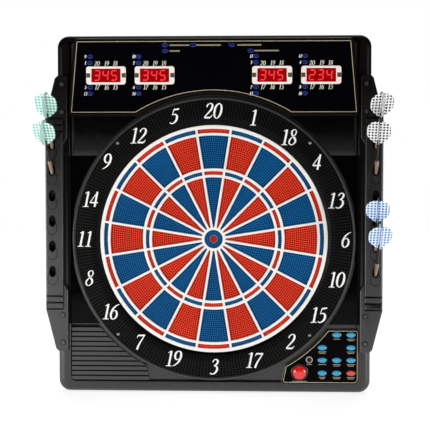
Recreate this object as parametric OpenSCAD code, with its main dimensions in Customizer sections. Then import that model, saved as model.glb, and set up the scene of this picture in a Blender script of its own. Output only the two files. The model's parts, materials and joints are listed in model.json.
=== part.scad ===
// Electronic dartboard with number ring, sprung scoring segments, four displays,
// a key panel, two side racks and six soft-tip darts. Millimetres, +Z up, front at -Y.
// The origin is the bull's axis on the wall face. Shapes are drawn in a wall frame:
// x to the right, y up and z out of the wall. facing_out() turns that into the part's frame.

/* [Body] */
// Width of the body without the racks
body_w = 542; // [532:1:550]
// Height of the body
body_h = 617.5; // [610:0.5:640]
// Height of the body's middle above the bull
body_mid = 42.25; // [40:0.25:48]
// Radius of the body's corners
corner_r = 20; // [12:1:28]
// Wall thickness of the mouldings
wall = 3; // [2:0.5:4]
// How far the rim's front stands out of the wall
rim_z = 38; // [36:0.5:40]
// How far the deck inside the rim stands out of the wall
deck_z = 34; // [32:0.5:35]
// How far the header block stands out of the wall
header_z = 48; // [44:1:56]
// How far the key block stands out of the wall
keys_z = 38.5; // [38.2:0.1:42]

/* [Target] */
// Outer radius of the spider's outer ring
target_r = 196.9; // [196:0.1:197]
// Outer radius of the double segments
double_out = 190.7; // [190:0.1:191.5]
// Inner radius of the double segments
double_in = 183.7; // [183:0.1:184.5]
// Outer radius of the large singles
single_out = 179.2; // [178:0.1:180]
// Inner radius of the large singles
single_in = 122.5; // [122:0.1:124]
// Outer radius of the triple segments
triple_out = 117.7; // [117:0.1:118.2]
// Inner radius of the triple segments
triple_in = 111.5; // [111:0.1:112.5]
// Outer radius of the small singles
inner_out = 107; // [106:0.1:107.5]
// Inner radius of the small singles
inner_in = 20.5; // [20:0.1:21]
// Outer radius of the outer bull
bull_out = 15.9; // [15:0.1:16.5]
// Radius of the bullseye
bull_in = 7; // [6.3:0.1:7.5]
// Width of a spider spoke
spoke_w = 3.9; // [3:0.1:4.5]
// Running gap between a segment and the spider
seg_gap = 0.35; // [0.25:0.05:0.5]
// How far a segment moves when a dart hits it
seg_travel = 1.2; // [0.8:0.1:1.4]
// Outer radius of the number ring
ring_out = 244; // [240:0.5:246]

/* [Displays] */
// Distance of the inner displays from the middle
display_in_x = 100.5; // [95:0.5:105]
// Distance of the outer displays from the middle
display_out_x = 184; // [182:0.5:190]
// Height of the displays above the bull
display_y = 281.5; // [278:0.5:285]
// Width of a display's white bezel
bezel_w = 68.3; // [60:0.1:70]
// Height of a display's white bezel
bezel_h = 31; // [28:0.1:34]
// Width of a display's red window
window_w = 50.5; // [45:0.1:54]
// Height of a display's red window
window_h = 23.5; // [20:0.1:26]
// Radius of an indicator
led_r = 1.9; // [1.5:0.1:2.2]

/* [Keys] */
// Width of an oval key
key_w = 15.7; // [12:0.1:17]
// Height of an oval key
key_h = 9.2; // [7:0.1:10]
// Radius of the start button
start_r = 12; // [10:0.1:13]
// Radius of the reset button
reset_r = 4; // [3:0.1:5]
// Running gap between a key and its hole
key_gap = 0.35; // [0.25:0.05:0.5]
// Travel of a key
key_travel = 1.5; // [1:0.1:2]

/* [Racks and darts] */
// Outer edge of a rack from the middle
rack_x = 290.5; // [288:0.5:292]
// How far a rack stands out of the wall
rack_z = 52; // [48:1:56]
// Distance of the sockets from the middle
socket_x = 277.7; // [276:0.1:279]
// Height of the top socket above the bull
socket_top = 151.4; // [140:0.1:160]
// Distance from one socket to the next
socket_pitch = 43.6; // [40:0.1:46]
// Angle between a socket and the wall
socket_lean = 36; // [34:1:38]
// Radius of a socket's bore
socket_r = 4.2; // [4:0.1:4.6]
// Length of a socket's bore
socket_len = 24; // [22:0.5:26]
// Radius of the scoop around a socket's mouth
scoop_r = 8; // [7:0.1:8.4]
// Depth of the scoop's floor behind the rack's front
scoop_depth = 8; // [7.5:0.1:10]
// Length of a dart's tip
tip_len = 22; // [18:0.5:23]
// Length of a dart's barrel
barrel_len = 34; // [30:1:42]
// Width of a dart's flight from wing to wing
flight_w = 41; // [36:0.5:42]

/* [Mounting] */
// Sideways distance between the wall keyholes
keyhole_dx = 400; // [360:1:420]
// Upward distance between the wall keyholes
keyhole_dy = 480; // [440:1:500]
// Radius of a keyhole's head opening
keyhole_r = 4.5; // [4:0.1:5]
// Radius of the power inlet's bore
inlet_r = 3.2; // [2.9:0.1:3.4]
// Depth of the power inlet's bore
inlet_len = 10; // [8:0.5:12]

/* [Hidden] */
$fn = 96;
corner_fn = 32;
cut = 1;
clear = 0.3;
segments = 20;
step = 360 / segments;

back_t = 2.5;
board_z = 12;
board_t = 3;
matrix_z = board_z + board_t;
matrix_t = 1;
seg_back = matrix_z + matrix_t + 1.5;
seg_flange = 3;
foot_t = 2;
seg_front = 33;
flange_out = 1.2;
web_back = seg_back + seg_flange + 0.5;
web_front = 36;
ring_seat_r = 228;
ring_base = matrix_z;
clamp_r = target_r + 6;
skirt_r = clamp_r - 4;
clamp_t = 3;
well_r = ring_out + 3;
cavity_z = 26;

screw_r = 1.5;
screw_hole_r = 1.7;
screw_head_r = 3.6;
screw_head_h = 2.2;
rear_head_h = 1.4;
boss_r = 5;
ring_screw_r = 234.5;
ring_screw_z = 38.5;
post_r = 6;

header_low = 210.5;
header_high = 346.5;
header_low_x = 252;
header_high_x = 241;
panel_t = 1.2;
shoulder_low = 145;
shoulder_z = 36.5;
display_xs = [-display_out_x, -display_in_x, display_in_x, display_out_x];
player_led_x = -27.4;
player_led_ys = [32.2, 21.5, -20.3, -31.2];
top_leds = [[-82.6, 332.7], [-34.6, 332.7], [31.6, 332.7], [-82.6, 322.9], [64.2, 322.9]];
top_board_y = 318.5;
module_back = 36;

key_cols = [188, 212.9, 237.3];
key_rows = [-164.6, -186.8, -208.7, -231];
start_at = [148.9, -230.2];
reset_at = [165.6, -208.3];
key_proud = 2.4;
key_foot = 27;
switch_h = 7;
mainboard_z = key_foot - key_travel - 0.5 - switch_h;

grille_t = 3.4;
slat_pitch = 8.5;
slat_gap = 4.4;
grille_top = -149;
deck_x = 248.5;
deck_low = -247.2;
speaker_at = [-207, -211];
speaker_r = 24;
inlet_x = 60;

rack_base = 8;
rack_back_x = body_w / 2 + clear;
rack_in_x = 261;
rack_end_x = 252;
rack_low = -195;
rack_high = 282;
rack_mid = (rack_low + rack_high) / 2;
groove_ys = [98.4, 109.7, 121];
rack_screw_ys = [132, 179.5];
lean_turn = 90 - socket_lean;
sockets = 6;
flight_len = 45;
shaft_len = 42;
dart_rest = 0.4;

// ---- helpers ----

// Turns the wall frame into the part's frame
module facing_out() {
    rotate([90, 0, 0]) children();
}

// A flat outline made solid from one distance off the wall to another
module slab(z0, z1) {
    translate([0, 0, z0]) linear_extrude(z1 - z0) children();
}

// A round rod from one distance off the wall to another
module rod(at, r, z0, z1) {
    translate([at[0], at[1], z0]) cylinder(h = z1 - z0, r = r);
}

// The body's outline, brought in by an inset
module body_outline(inset) {
    r = corner_r - inset / 2;
    dx = body_w / 2 - inset - r;
    dy = body_h / 2 - inset - r;
    hull() {
        for (sx = [-1, 1], sy = [-1, 1]) {
            translate([sx * dx, body_mid + sy * dy]) circle(r, $fn = corner_fn);
        }
    }
}

// The header's outline, brought in by an inset
module header_outline(inset) {
    polygon([
        [-header_low_x + inset, header_low + inset],
        [header_low_x - inset, header_low + inset],
        [header_high_x - inset, header_high - inset],
        [-header_high_x + inset, header_high - inset]
    ]);
}

// The key block's outline, brought in by an inset
module keys_outline(inset) {
    difference() {
        polygon([
            [126 + inset, -154.5 - inset],
            [251.8 - inset, -154.5 - inset],
            [251.8 - inset, -251 + inset],
            [114.5 + inset, -251 + inset],
            [120.5 + inset, -216.5]
        ]);
        circle(well_r + 2 + inset);
    }
}

// The loudspeaker grille's outline, brought in by an inset
module grille_outline(inset) {
    difference() {
        polygon([
            [1 - deck_x + inset, grille_top - inset],
            [-117.5 - inset, grille_top - inset],
            [-117.5 - inset, -216],
            [-110.5 - inset, deck_low + 0.5 + inset],
            [1 - deck_x + inset, deck_low + 0.5 + inset]
        ]);
        circle(well_r + 1.5 + inset);
    }
}

// One scoring field's outline, upright, between two radii and two spokes
module field(r_in, r_out, side_gap) {
    apex = side_gap / sin(step / 2);
    reach = target_r * 1.1;
    intersection() {
        difference() {
            circle(r_out);
            circle(r_in);
        }
        polygon([
            [0, apex],
            [-reach * sin(step / 2), apex + reach * cos(step / 2)],
            [reach * sin(step / 2), apex + reach * cos(step / 2)]
        ]);
    }
}

// The outline of all four fields of one number, opened or closed by a margin
module fields(margin) {
    side_gap = spoke_w / 2 - margin;
    field(double_in - margin, double_out + margin, side_gap);
    field(single_in - margin, single_out + margin, side_gap);
    field(triple_in - margin, triple_out + margin, side_gap);
    field(inner_in - margin, inner_out + margin, side_gap);
}

// The sprung segments of one number, counted clockwise from the top
module segment_set(index) {
    color(index % 2 == 0 ? "steelblue" : "firebrick") facing_out() rotate([0, 0, -index * step]) {
        slab(seg_back, seg_front) fields(-seg_gap);
        slab(seg_back, seg_back + seg_flange) fields(flange_out);
    }
}

// An oval outline
module oval(w, h) {
    scale([w, h]) circle(0.5, $fn = 64);
}

// Where a key stands
function key_at(row, col) = [key_cols[col], key_rows[row]];

// Holes for every key, widened by a gap
module key_holes(gap) {
    for (row = [0:3], col = [0:2]) {
        if (!(row == 0 && col == 0) && !(row == 1 && col == 1)) {
            translate(key_at(row, col)) oval(key_w + 2 * gap, key_h + 2 * gap);
        }
    }
    translate(start_at) circle(start_r + gap);
    translate(reset_at) circle(reset_r + gap);
}

// One oval key with its foot
module key_cap(row, col, shade) {
    color(shade) facing_out() translate(key_at(row, col)) {
        slab(key_foot, keys_z + panel_t + key_proud) oval(key_w, key_h);
        slab(key_foot, key_foot + 2) oval(key_w + 3, key_h + 3);
    }
}

// A round button: the top is a shallow dome standing out of the panel
module round_button(at, r, proud, shade) {
    top = keys_z + panel_t;
    color(shade) facing_out() translate([at[0], at[1], 0]) {
        rotate_extrude() polygon([
            [0, key_foot], [r + 1.5, key_foot], [r + 1.5, key_foot + 2], [r, key_foot + 2],
            [r, top + proud * 0.4], [r * 0.85, top + proud * 0.75], [r * 0.5, top + proud * 0.95],
            [0, top + proud]
        ]);
    }
}

// Where the rear screws stand
function rear_screws() = [
    [-256, -247], [0, -256], [256, -247],
    [-260, body_mid], [260, body_mid],
    [-258, 337], [0, 343.5], [258, 337]
];

// Where the posts behind the target stand
function posts() = [
    for (r = [70, 170], a = [0:60:300]) [r * cos(a + r), r * sin(a + r)]
];

// Where the number ring's screws stand
function ring_screw_places() = [
    for (a = [45:90:315]) [ring_screw_r * cos(a), ring_screw_r * sin(a)]
];

// Where the right rack's screws stand
function rack_screw_places() = [
    for (y = rack_screw_ys, up = [0, 1]) [rack_in_x, up == 1 ? 2 * rack_mid + y : -y]
];

// ---- shells ----

module rim_base() {
    difference() {
        hull() {
            slab(back_t, 26) body_outline(0);
            slab(back_t, rim_z) body_outline(9);
        }
        translate([-deck_x, deck_low, deck_z]) cube([2 * deck_x, header_low - deck_low, rim_z]);
        rod([0, 0], well_r, deck_z, rim_z + cut);
    }
}

module header_block() {
    difference() {
        hull() {
            slab(26, 30) header_outline(0);
            slab(header_z - 1, header_z) header_outline(4);
        }
        translate([0, 0, 25]) cylinder(h = header_z - 24, r1 = well_r, r2 = well_r + 5);
    }
}

module shoulders() {
    difference() {
        translate([-deck_x - 1, 0, 0]) rotate([90, 0, 90]) linear_extrude(2 * deck_x + 2) polygon([
            [shoulder_low, deck_z - 1],
            [shoulder_low, shoulder_z - 1],
            [shoulder_low + 2, shoulder_z],
            [shoulder_low + 30, shoulder_z + 3.5],
            [shoulder_low + 50, shoulder_z + 6.5],
            [header_low + 1, shoulder_z + 8],
            [header_low + 1, deck_z - 1]
        ]);
        translate([0, 0, 20]) cylinder(h = 40, r = well_r);
    }
}

module front_housing() {
    color("#1c1c1c") facing_out() difference() {
        union() {
            rim_base();
            header_block();
            shoulders();
            slab(26, keys_z) keys_outline(0);
        }
        difference() {
            union() {
                slab(0, cavity_z) body_outline(wall);
                slab(0, deck_z - wall) body_outline(wall + 7);
            }
            for (at = rear_screws()) rod(at, boss_r, back_t, deck_z);
            for (at = ring_screw_places()) rod(at, boss_r, 16, deck_z);
            for (at = rack_screw_places(), side = [-1, 1]) {
                rod([side * at[0], at[1]], boss_r, 20, deck_z);
            }
        }
        slab(deck_z - wall - cut, header_z - wall) difference() {
            header_outline(8);
            circle(well_r + 9);
        }
        slab(deck_z - wall - cut, keys_z - wall) keys_outline(wall);
        slab(0, 60) circle(ring_seat_r);
        slab(0, 60) for (x = display_xs) {
            translate([x - 37, display_y - 37]) square([74, 74]);
        }
        slab(0, 60) translate([-90, top_board_y - 1]) square([162, 20]);
        slab(0, 60) key_holes(1.2);
        for (at = rear_screws()) rod(at, screw_hole_r, 0, 14);
        for (at = ring_screw_places()) rod(at, screw_hole_r, 15, 60);
        for (at = rack_screw_places(), side = [-1, 1]) {
            rod([side * at[0], at[1]], screw_hole_r, 19, 60);
        }
        rod(speaker_at, speaker_r, 0, 60);
        translate([inlet_x, -body_h / 2 + body_mid - cut, 12]) rotate([-90, 0, 0]) cylinder(h = 6, r = 5);
    }
}

module rear_cover() {
    color("#262626") facing_out() difference() {
        union() {
            slab(0, back_t) body_outline(0.5);
            for (at = posts()) rod(at, post_r, 1, board_z);
            slab(1, 9) difference() {
                body_outline(wall + 0.5);
                body_outline(wall + 3);
                for (at = rear_screws()) translate(at) circle(boss_r + 1);
                translate([inlet_x - 8, -280]) square([16, 30]);
            }
        }
        for (at = posts()) rod(at, post_r - 2, back_t, board_z + cut);
        for (at = rear_screws()) {
            rod(at, screw_hole_r, -cut, back_t + cut);
            rod(at, screw_head_r, -cut, rear_head_h + 0.1);
        }
        for (sx = [-1, 1], sy = [-1, 1]) {
            translate([sx * keyhole_dx / 2, body_mid + sy * keyhole_dy / 2, -cut]) {
                cylinder(h = back_t + 2 * cut, r = keyhole_r);
                translate([-keyhole_r / 2, 0, 0]) cube([keyhole_r, 9, back_t + 2 * cut]);
                translate([0, 9, 0]) cylinder(h = back_t + 2 * cut, r = keyhole_r / 2);
            }
        }
    }
}

module header_panel() {
    color("#08080a") facing_out() slab(header_z, header_z + panel_t) difference() {
        header_outline(6);
        circle(well_r + 6.5);
        for (x = display_xs) {
            translate([x - 28, display_y - 12.8]) square([56, 25.6]);
            for (y = player_led_ys) translate([x + player_led_x, display_y + y]) circle(led_r + 0.2);
        }
        for (at = top_leds) translate(at) circle(led_r + 0.2);
    }
}

module control_panel() {
    color("#08080a") facing_out() slab(keys_z, keys_z + panel_t) difference() {
        keys_outline(2);
        key_holes(key_gap);
    }
}

module speaker_grille() {
    color("#3a3a3a") facing_out() slab(deck_z, deck_z + grille_t) difference() {
        grille_outline(0);
        intersection() {
            grille_outline(4);
            for (k = [0:10]) {
                translate([-250, deck_low + 5 + k * slat_pitch]) square([150, slat_gap]);
            }
        }
    }
}

// ---- target ----

module catch_ring() {
    color("#141414") facing_out() difference() {
        rotate_extrude() polygon([
            [clamp_r + 0.5, ring_base],
            [ring_seat_r - 0.5, ring_base],
            [ring_seat_r - 0.5, deck_z],
            [ring_out, deck_z],
            [ring_out, ring_screw_z + 1.5],
            [ring_out - 2.5, ring_screw_z + 2.5],
            [ring_out - 4.5, ring_screw_z],
            [212, ring_screw_z],
            [target_r + 0.6, web_front - 1],
            [target_r + 0.6, web_back + clamp_t + clear],
            [clamp_r + 0.5, web_back + clamp_t + clear]
        ]);
        for (at = ring_screw_places()) rod(at, screw_hole_r, deck_z - cut, 60);
    }
}

module spider() {
    color("#f2f0ea") facing_out() difference() {
        union() {
            slab(web_back, web_front) circle(target_r);
            slab(web_back, web_back + clamp_t) circle(clamp_r);
            slab(matrix_z + matrix_t, web_back + cut) difference() {
                circle(clamp_r);
                circle(skirt_r);
            }
        }
        slab(web_back - cut, web_front + cut) {
            for (i = [0:segments - 1]) rotate(-i * step) fields(0);
            circle(bull_out);
        }
    }
}

module outer_bull() {
    color("steelblue") facing_out() difference() {
        union() {
            rod([0, 0], bull_out - seg_gap, seg_back, seg_front);
            rod([0, 0], bull_out + flange_out, seg_back, seg_back + seg_flange);
        }
        rod([0, 0], bull_in + seg_gap, seg_back - cut, seg_front + cut);
        rod([0, 0], bull_in + 2, seg_back - cut, seg_back + foot_t + seg_travel + clear);
    }
}

module inner_bull() {
    color("firebrick") facing_out() {
        rod([0, 0], bull_in, seg_back, seg_front);
        rod([0, 0], bull_in + 1.6, seg_back, seg_back + foot_t);
    }
}

module matrix_sheet() {
    color("#c9c4a8") facing_out() slab(matrix_z, matrix_z + matrix_t) circle(clamp_r);
}

module backing_board() {
    color("#7a5c3a") facing_out() slab(board_z, board_z + board_t) circle(ring_seat_r - 4);
}

// ---- displays ----

module display_bezels() {
    color("#e9e2da") facing_out() for (x = display_xs) {
        translate([x, display_y]) slab(header_z + panel_t, header_z + panel_t + 2) difference() {
            hull() for (sx = [-1, 1], sy = [-1, 1]) {
                translate([sx * (bezel_w / 2 - 4), sy * (bezel_h / 2 - 4)]) circle(4, $fn = corner_fn);
            }
            square([window_w, window_h], center = true);
        }
    }
}

module display_filters() {
    color("#a01012") facing_out() for (x = display_xs) {
        translate([x - window_w / 2 + 0.1, display_y - window_h / 2 + 0.1, header_z - 1]) {
            cube([window_w - 0.2, window_h - 0.2, panel_t + 2.4]);
        }
    }
}

module display_modules() {
    color("#d8d8d0") facing_out() for (x = display_xs) {
        translate([x - 25, display_y - 11, module_back]) cube([50, 22, header_z - 1.5 - module_back]);
        translate([x - 36, display_y - 36, module_back - 1.6]) cube([72, 72, 1.6]);
    }
}

module indicator_leds() {
    color("#2b50c8") facing_out() {
        for (x = display_xs, y = player_led_ys) {
            rod([x + player_led_x, display_y + y], led_r, module_back, header_z + panel_t + 0.6);
        }
        for (at = top_leds) rod(at, led_r, module_back, header_z + panel_t + 0.6);
        translate([-88, top_board_y, module_back - 1.6]) cube([158, 18, 1.6]);
    }
}

// ---- works ----

module main_board() {
    color("#2f6b3a") facing_out() {
        slab(mainboard_z - 1.6, mainboard_z) difference() {
            keys_outline(7);
            circle(well_r + 6);
        }
        for (row = [0:3], col = [0:2]) {
            if (!(row == 0 && col == 0) && !(row == 1 && col == 1)) {
                translate([key_cols[col] - 3, key_rows[row] - 3, mainboard_z]) cube([6, 6, switch_h]);
            }
        }
        for (at = [start_at, reset_at]) {
            translate([at[0] - 3, at[1] - 3, mainboard_z]) cube([6, 6, switch_h]);
        }
        translate([190, -204, mainboard_z - 4.6]) cube([36, 14, 3]);
    }
}

module speaker() {
    color("#4a4a4a") facing_out() translate([speaker_at[0], speaker_at[1], 0]) {
        rotate_extrude() polygon([
            [0, 10], [14, 10], [14, 18], [27, 25], [28, deck_z - wall], [22, deck_z - wall],
            [9, 22], [0, 23]
        ]);
    }
}

module power_inlet() {
    color("#181818") facing_out() translate([inlet_x, -body_h / 2 + body_mid + wall, 12]) {
        rotate([-90, 0, 0]) difference() {
            translate([-5.5, -5.5, 0]) cube([11, 11, 14]);
            translate([0, 0, -cut]) cylinder(h = inlet_len + cut, r = inlet_r);
        }
    }
}

// A pan-head screw with its head's underside at z
module screw(at, z, len) {
    rod(at, screw_head_r, z, z + screw_head_h);
    rod(at, screw_r, z - len, z + cut);
}

module ring_screws() {
    color("#30302e") facing_out() for (at = ring_screw_places()) screw(at, ring_screw_z, 18);
}

module body_screws() {
    color("#30302e") facing_out() {
        for (at = rear_screws()) {
            rod(at, screw_head_r - 0.4, 0.1, rear_head_h);
            rod(at, screw_r, 0.1, 12);
        }
        for (at = rack_screw_places(), side = [-1, 1]) {
            screw([side * at[0], at[1]], rack_z - 5, 24);
        }
    }
}

// ---- racks and darts ----

// The right rack's outline, cut in at both ends
module rack_outline() {
    polygon([
        [rack_in_x, rack_mid - 120],
        [rack_end_x, rack_mid - 131],
        [rack_end_x, rack_low + 6],
        [rack_end_x + 5, rack_low],
        [rack_x - 22, rack_low],
        [rack_x - 17, rack_low + 5],
        [rack_x, rack_mid - 166],
        [rack_x, rack_mid + 166],
        [rack_x - 17, rack_high - 5],
        [rack_x - 22, rack_high],
        [rack_end_x + 5, rack_high],
        [rack_end_x, rack_high - 6],
        [rack_end_x, rack_mid + 131],
        [rack_in_x, rack_mid + 120]
    ]);
}

// Moves its children to a socket's mouth, with z along the socket
module at_socket(index, sideways, upright) {
    translate([socket_x, socket_top - index * socket_pitch, rack_z - scoop_depth]) {
        rotate([-lean_turn - upright, 0, sideways]) children();
    }
}

module rack() {
    difference() {
        union() {
            slab(rim_z + clear, rack_z - 5) rack_outline();
            slab(rack_z - 5 - cut, rack_z) intersection() {
                rack_outline();
                translate([rack_in_x + 3, rack_mid - 166]) square([rack_x - rack_in_x - 6, 332]);
            }
            slab(rack_base, rim_z + 2) intersection() {
                rack_outline();
                translate([rack_back_x, rack_low]) square([rack_x - rack_back_x, rack_high - rack_low]);
            }
        }
        translate([rack_back_x + wall, rack_mid - 160, rack_base - cut]) {
            cube([rack_x - rack_back_x - 2 * wall, 320, 15]);
        }
        for (index = [0:sockets - 1]) at_socket(index, 0, 0) {
            translate([0, 0, -socket_len]) cylinder(h = socket_len + cut, r = socket_r);
            cylinder(h = 40, r = scoop_r);
        }
        for (y = groove_ys, up = [0, 1]) {
            translate([rack_in_x, (up == 1 ? 2 * rack_mid + y : -y) - 1.5, rack_z - 3]) cube([40, 3, 10]);
        }
        for (at = rack_screw_places()) rod(at, screw_hole_r, 20, 60);
    }
}

module rack_right() {
    color("#2b2b2b") facing_out() rack();
}

module rack_left() {
    color("#2b2b2b") facing_out() mirror([1, 0, 0]) rack();
}

// The outline of one pair of a flight's wings, from wing tip to wing tip
module wings() {
    start = barrel_len + shaft_len - 8;
    end = start + flight_len;
    half = flight_w / 2;
    polygon([
        [-2, start], [2, start], [half, start + 20], [half, end - 14], [half - 3, end - 6],
        [half - 9, end - 1.5], [2, end], [-2, end], [9 - half, end - 1.5], [3 - half, end - 6],
        [-half, end - 14], [-half, start + 20]
    ]);
}

// One dart at rest in its socket: it leans sideways and upright by small angles, with its
// flight turned on the shaft
module dart(side, index, sideways, upright, turned, shade) {
    color(shade) facing_out() mirror([side < 0 ? 1 : 0, 0, 0]) at_socket(index, sideways, upright) {
        translate([0, 0, dart_rest]) {
            rotate_extrude() polygon([
                [0, -tip_len], [0.9, -tip_len + 2], [1.2, -5], [2.4, -4.5], [2.4, 0],
                [2.9, 1.5], [3.9, barrel_len / 2], [3.9, barrel_len - 1], [3, barrel_len],
                [2.6, barrel_len + 2], [2.2, barrel_len + shaft_len], [0, barrel_len + shaft_len]
            ]);
            for (pair = [0, 90]) rotate([0, 0, turned + pair]) translate([0, 0.3, 0]) {
                rotate([90, 0, 0]) linear_extrude(0.6) wings();
            }
        }
    }
}

module start_button() {
    round_button(start_at, start_r, 7, "red");
}

module reset_button() {
    round_button(reset_at, reset_r, 2.5, "silver");
}

// ---- drawing ----

front_housing();
rear_cover();
header_panel();
control_panel();
speaker_grille();
catch_ring();
spider();
rack_left();
rack_right();
display_bezels();
display_filters();
display_modules();
indicator_leds();
matrix_sheet();
backing_board();
main_board();
speaker();
power_inlet();
ring_screws();
body_screws();
segment_set(0);  // segments_20
segment_set(1);  // segments_01
segment_set(2);  // segments_18
segment_set(3);  // segments_04
segment_set(4);  // segments_13
segment_set(5);  // segments_06
segment_set(6);  // segments_10
segment_set(7);  // segments_15
segment_set(8);  // segments_02
segment_set(9);  // segments_17
segment_set(10);  // segments_03
segment_set(11);  // segments_19
segment_set(12);  // segments_07
segment_set(13);  // segments_16
segment_set(14);  // segments_08
segment_set(15);  // segments_11
segment_set(16);  // segments_14
segment_set(17);  // segments_09
segment_set(18);  // segments_12
segment_set(19);  // segments_05
outer_bull();
inner_bull();
key_cap(0, 1, "deepskyblue");  // key_1b
key_cap(0, 2, "deepskyblue");  // key_1c
key_cap(1, 0, "deepskyblue");  // key_2a
key_cap(1, 2, "deepskyblue");  // key_2c
key_cap(2, 0, "deepskyblue");  // key_3a
key_cap(2, 1, "deepskyblue");  // key_3b
key_cap(2, 2, "deepskyblue");  // key_3c
key_cap(3, 0, "deepskyblue");  // key_4a
key_cap(3, 1, "deepskyblue");  // key_4b
key_cap(3, 2, "tomato");  // key_4c
start_button();
reset_button();
dart(-1, 0, -2, 3, 17, "aquamarine");  // dart_left_1
dart(-1, 1, -4, 0, 20, "aquamarine");  // dart_left_2
dart(1, 0, -4, 3, 12, "white");  // dart_right_1
dart(1, 1, 0, 0, -4, "white");  // dart_right_2
dart(1, 4, 1, 0, -5, "lightskyblue");  // dart_right_5
dart(1, 5, -2.5, 0, 6, "lightskyblue");  // dart_right_6
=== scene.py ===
"""Looks for the electronic dartboard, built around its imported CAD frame.

Shapes are worked out in a wall frame in millimetres: x to the right of the bull, up above it and
out of the wall. at() turns that into the row frame in metres.
"""

import json
import math
from collections import namedtuple
from functools import partial

import bmesh
import bpy
from mathutils import Matrix, Vector

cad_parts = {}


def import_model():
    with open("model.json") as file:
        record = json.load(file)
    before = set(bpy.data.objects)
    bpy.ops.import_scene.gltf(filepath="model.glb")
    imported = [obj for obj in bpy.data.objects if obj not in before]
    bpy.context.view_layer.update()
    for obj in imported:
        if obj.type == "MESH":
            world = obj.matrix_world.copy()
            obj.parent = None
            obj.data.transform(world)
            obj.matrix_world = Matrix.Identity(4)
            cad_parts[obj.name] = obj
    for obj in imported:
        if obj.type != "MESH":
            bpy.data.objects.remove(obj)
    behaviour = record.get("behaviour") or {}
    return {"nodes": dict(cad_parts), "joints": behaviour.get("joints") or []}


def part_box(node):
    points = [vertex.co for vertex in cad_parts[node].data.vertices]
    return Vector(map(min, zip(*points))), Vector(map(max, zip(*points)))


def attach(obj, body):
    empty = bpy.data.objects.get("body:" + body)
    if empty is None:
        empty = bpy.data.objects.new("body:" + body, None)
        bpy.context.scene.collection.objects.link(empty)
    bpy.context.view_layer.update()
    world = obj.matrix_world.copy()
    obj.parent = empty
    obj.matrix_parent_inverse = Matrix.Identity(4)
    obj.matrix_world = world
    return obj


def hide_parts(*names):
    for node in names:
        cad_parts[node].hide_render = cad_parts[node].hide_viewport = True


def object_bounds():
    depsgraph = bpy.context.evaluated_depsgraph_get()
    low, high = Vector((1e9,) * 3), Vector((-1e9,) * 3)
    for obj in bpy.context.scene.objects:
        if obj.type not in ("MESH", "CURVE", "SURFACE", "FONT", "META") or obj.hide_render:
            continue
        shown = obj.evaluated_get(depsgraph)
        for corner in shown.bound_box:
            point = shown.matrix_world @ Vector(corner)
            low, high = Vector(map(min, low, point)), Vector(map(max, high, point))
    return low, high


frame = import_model()
cad_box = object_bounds()
scene = bpy.context.scene
nodes = frame["nodes"]

MM = 0.001
NUMBERS = (20, 1, 18, 4, 13, 6, 10, 15, 2, 17, 3, 19, 7, 16, 8, 11, 14, 9, 12, 5)
STEP = math.tau / len(NUMBERS)
Extent = namedtuple("Extent", "left right low high back front")


def extent(node):
    """A node's box in the wall frame, in millimetres."""
    low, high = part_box(node)
    return Extent(low.x / MM, high.x / MM, low.z / MM, high.z / MM, -high.y / MM, -low.y / MM)


def middle_of(node):
    box = extent(node)
    return ((box.left + box.right) / 2, (box.low + box.high) / 2)


# ---- sizes, from the frame where it holds them ----

BODY_LEFT, BODY_RIGHT, BODY_LOW, BODY_HIGH, _, HEADER_Z = extent("front_housing")
RING_OUT, RING_TOP = extent("catch_ring").right, extent("catch_ring").front
DECK_Z, DECK_X, DECK_LOW, DECK_HIGH, DECK_CORNER = 34.0, 248.5, -247.2, 345.0, 10
RIM_Z = 38.0
PANEL_Z = extent("header_panel").front
KEYS_Z, KEYS_TOP = extent("control_panel")[4:]
RACK_END, RACK_X, RACK_LOW, RACK_HIGH, _, RACK_Z = extent("rack_right")
RACK_IN, SCREW_X = 259.0, 261.0
RACK_MID = (RACK_LOW + RACK_HIGH) / 2
TARGET_R = 196.9
WEB_Z = extent("spider").front
FIELD_BACK, FIELD_Z = extent("outer_bull")[4:]
FIELDS = {
    "double": (183.7, 190.7), "outer": (122.5, 179.2), "triple": (111.5, 117.7), "inner": (20.5, 107.0),
}
BULL_OUT, BULL_IN = 15.9, 7.0
SPOKE = 3.9
GAP, SOFT_EDGE, FLANGE = 0.35, 0.35, 1.2
HOLE_PITCH, HOLE_DEPTH = 3.75, 4.0
WELL_R = RING_OUT + 3
DISPLAY_X = (-184.0, -100.5, 100.5, 184.0)
DISPLAY_Y = middle_of("display_bezels")[1]
PLAYER_LED_X = -27.4
PLAYER_LED_Y = (32.2, 21.5, -20.3, -31.2)
TOP_LED_Y = (332.7, 322.9)
TOP_LED_X = ((-82.6, -34.6, 31.6), (-82.6, 64.2))
SOCKET_X, SOCKET_TOP, SOCKET_PITCH = 277.7, 151.4, 43.6
SOCKET_UPS = [SOCKET_TOP - k * SOCKET_PITCH for k in range(6)]
SOCKET_LEAN = math.radians(36)
SOCKET_Z = RACK_Z - 8.0
PRINT_BACK, PRINT_FRONT = -0.05, 0.1
SIDES = ((-1, "left"), (1, "right"))


# ---- geometry helpers ----

def at(x, up, out):
    """A point of the wall frame, as a point of the row frame."""
    return Vector((x * MM, -out * MM, up * MM))


def new_mesh(name, verts, faces):
    """A mesh from wall-frame points."""
    mesh = bpy.data.meshes.new(name)
    mesh.from_pydata([at(*v) for v in verts], [], faces)
    return mesh


def linked(name, data):
    """A new object in the scene."""
    obj = bpy.data.objects.new(name, data)
    scene.collection.objects.link(obj)
    return obj


def clean(mesh, merge=0.0):
    """Joins points nearer than merge, in metres, and turns the faces outwards."""
    work = bmesh.new()
    work.from_mesh(mesh)
    if merge:
        bmesh.ops.remove_doubles(work, verts=work.verts, dist=merge)
    bmesh.ops.recalc_face_normals(work, faces=work.faces)
    work.to_mesh(mesh)
    work.free()


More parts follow.
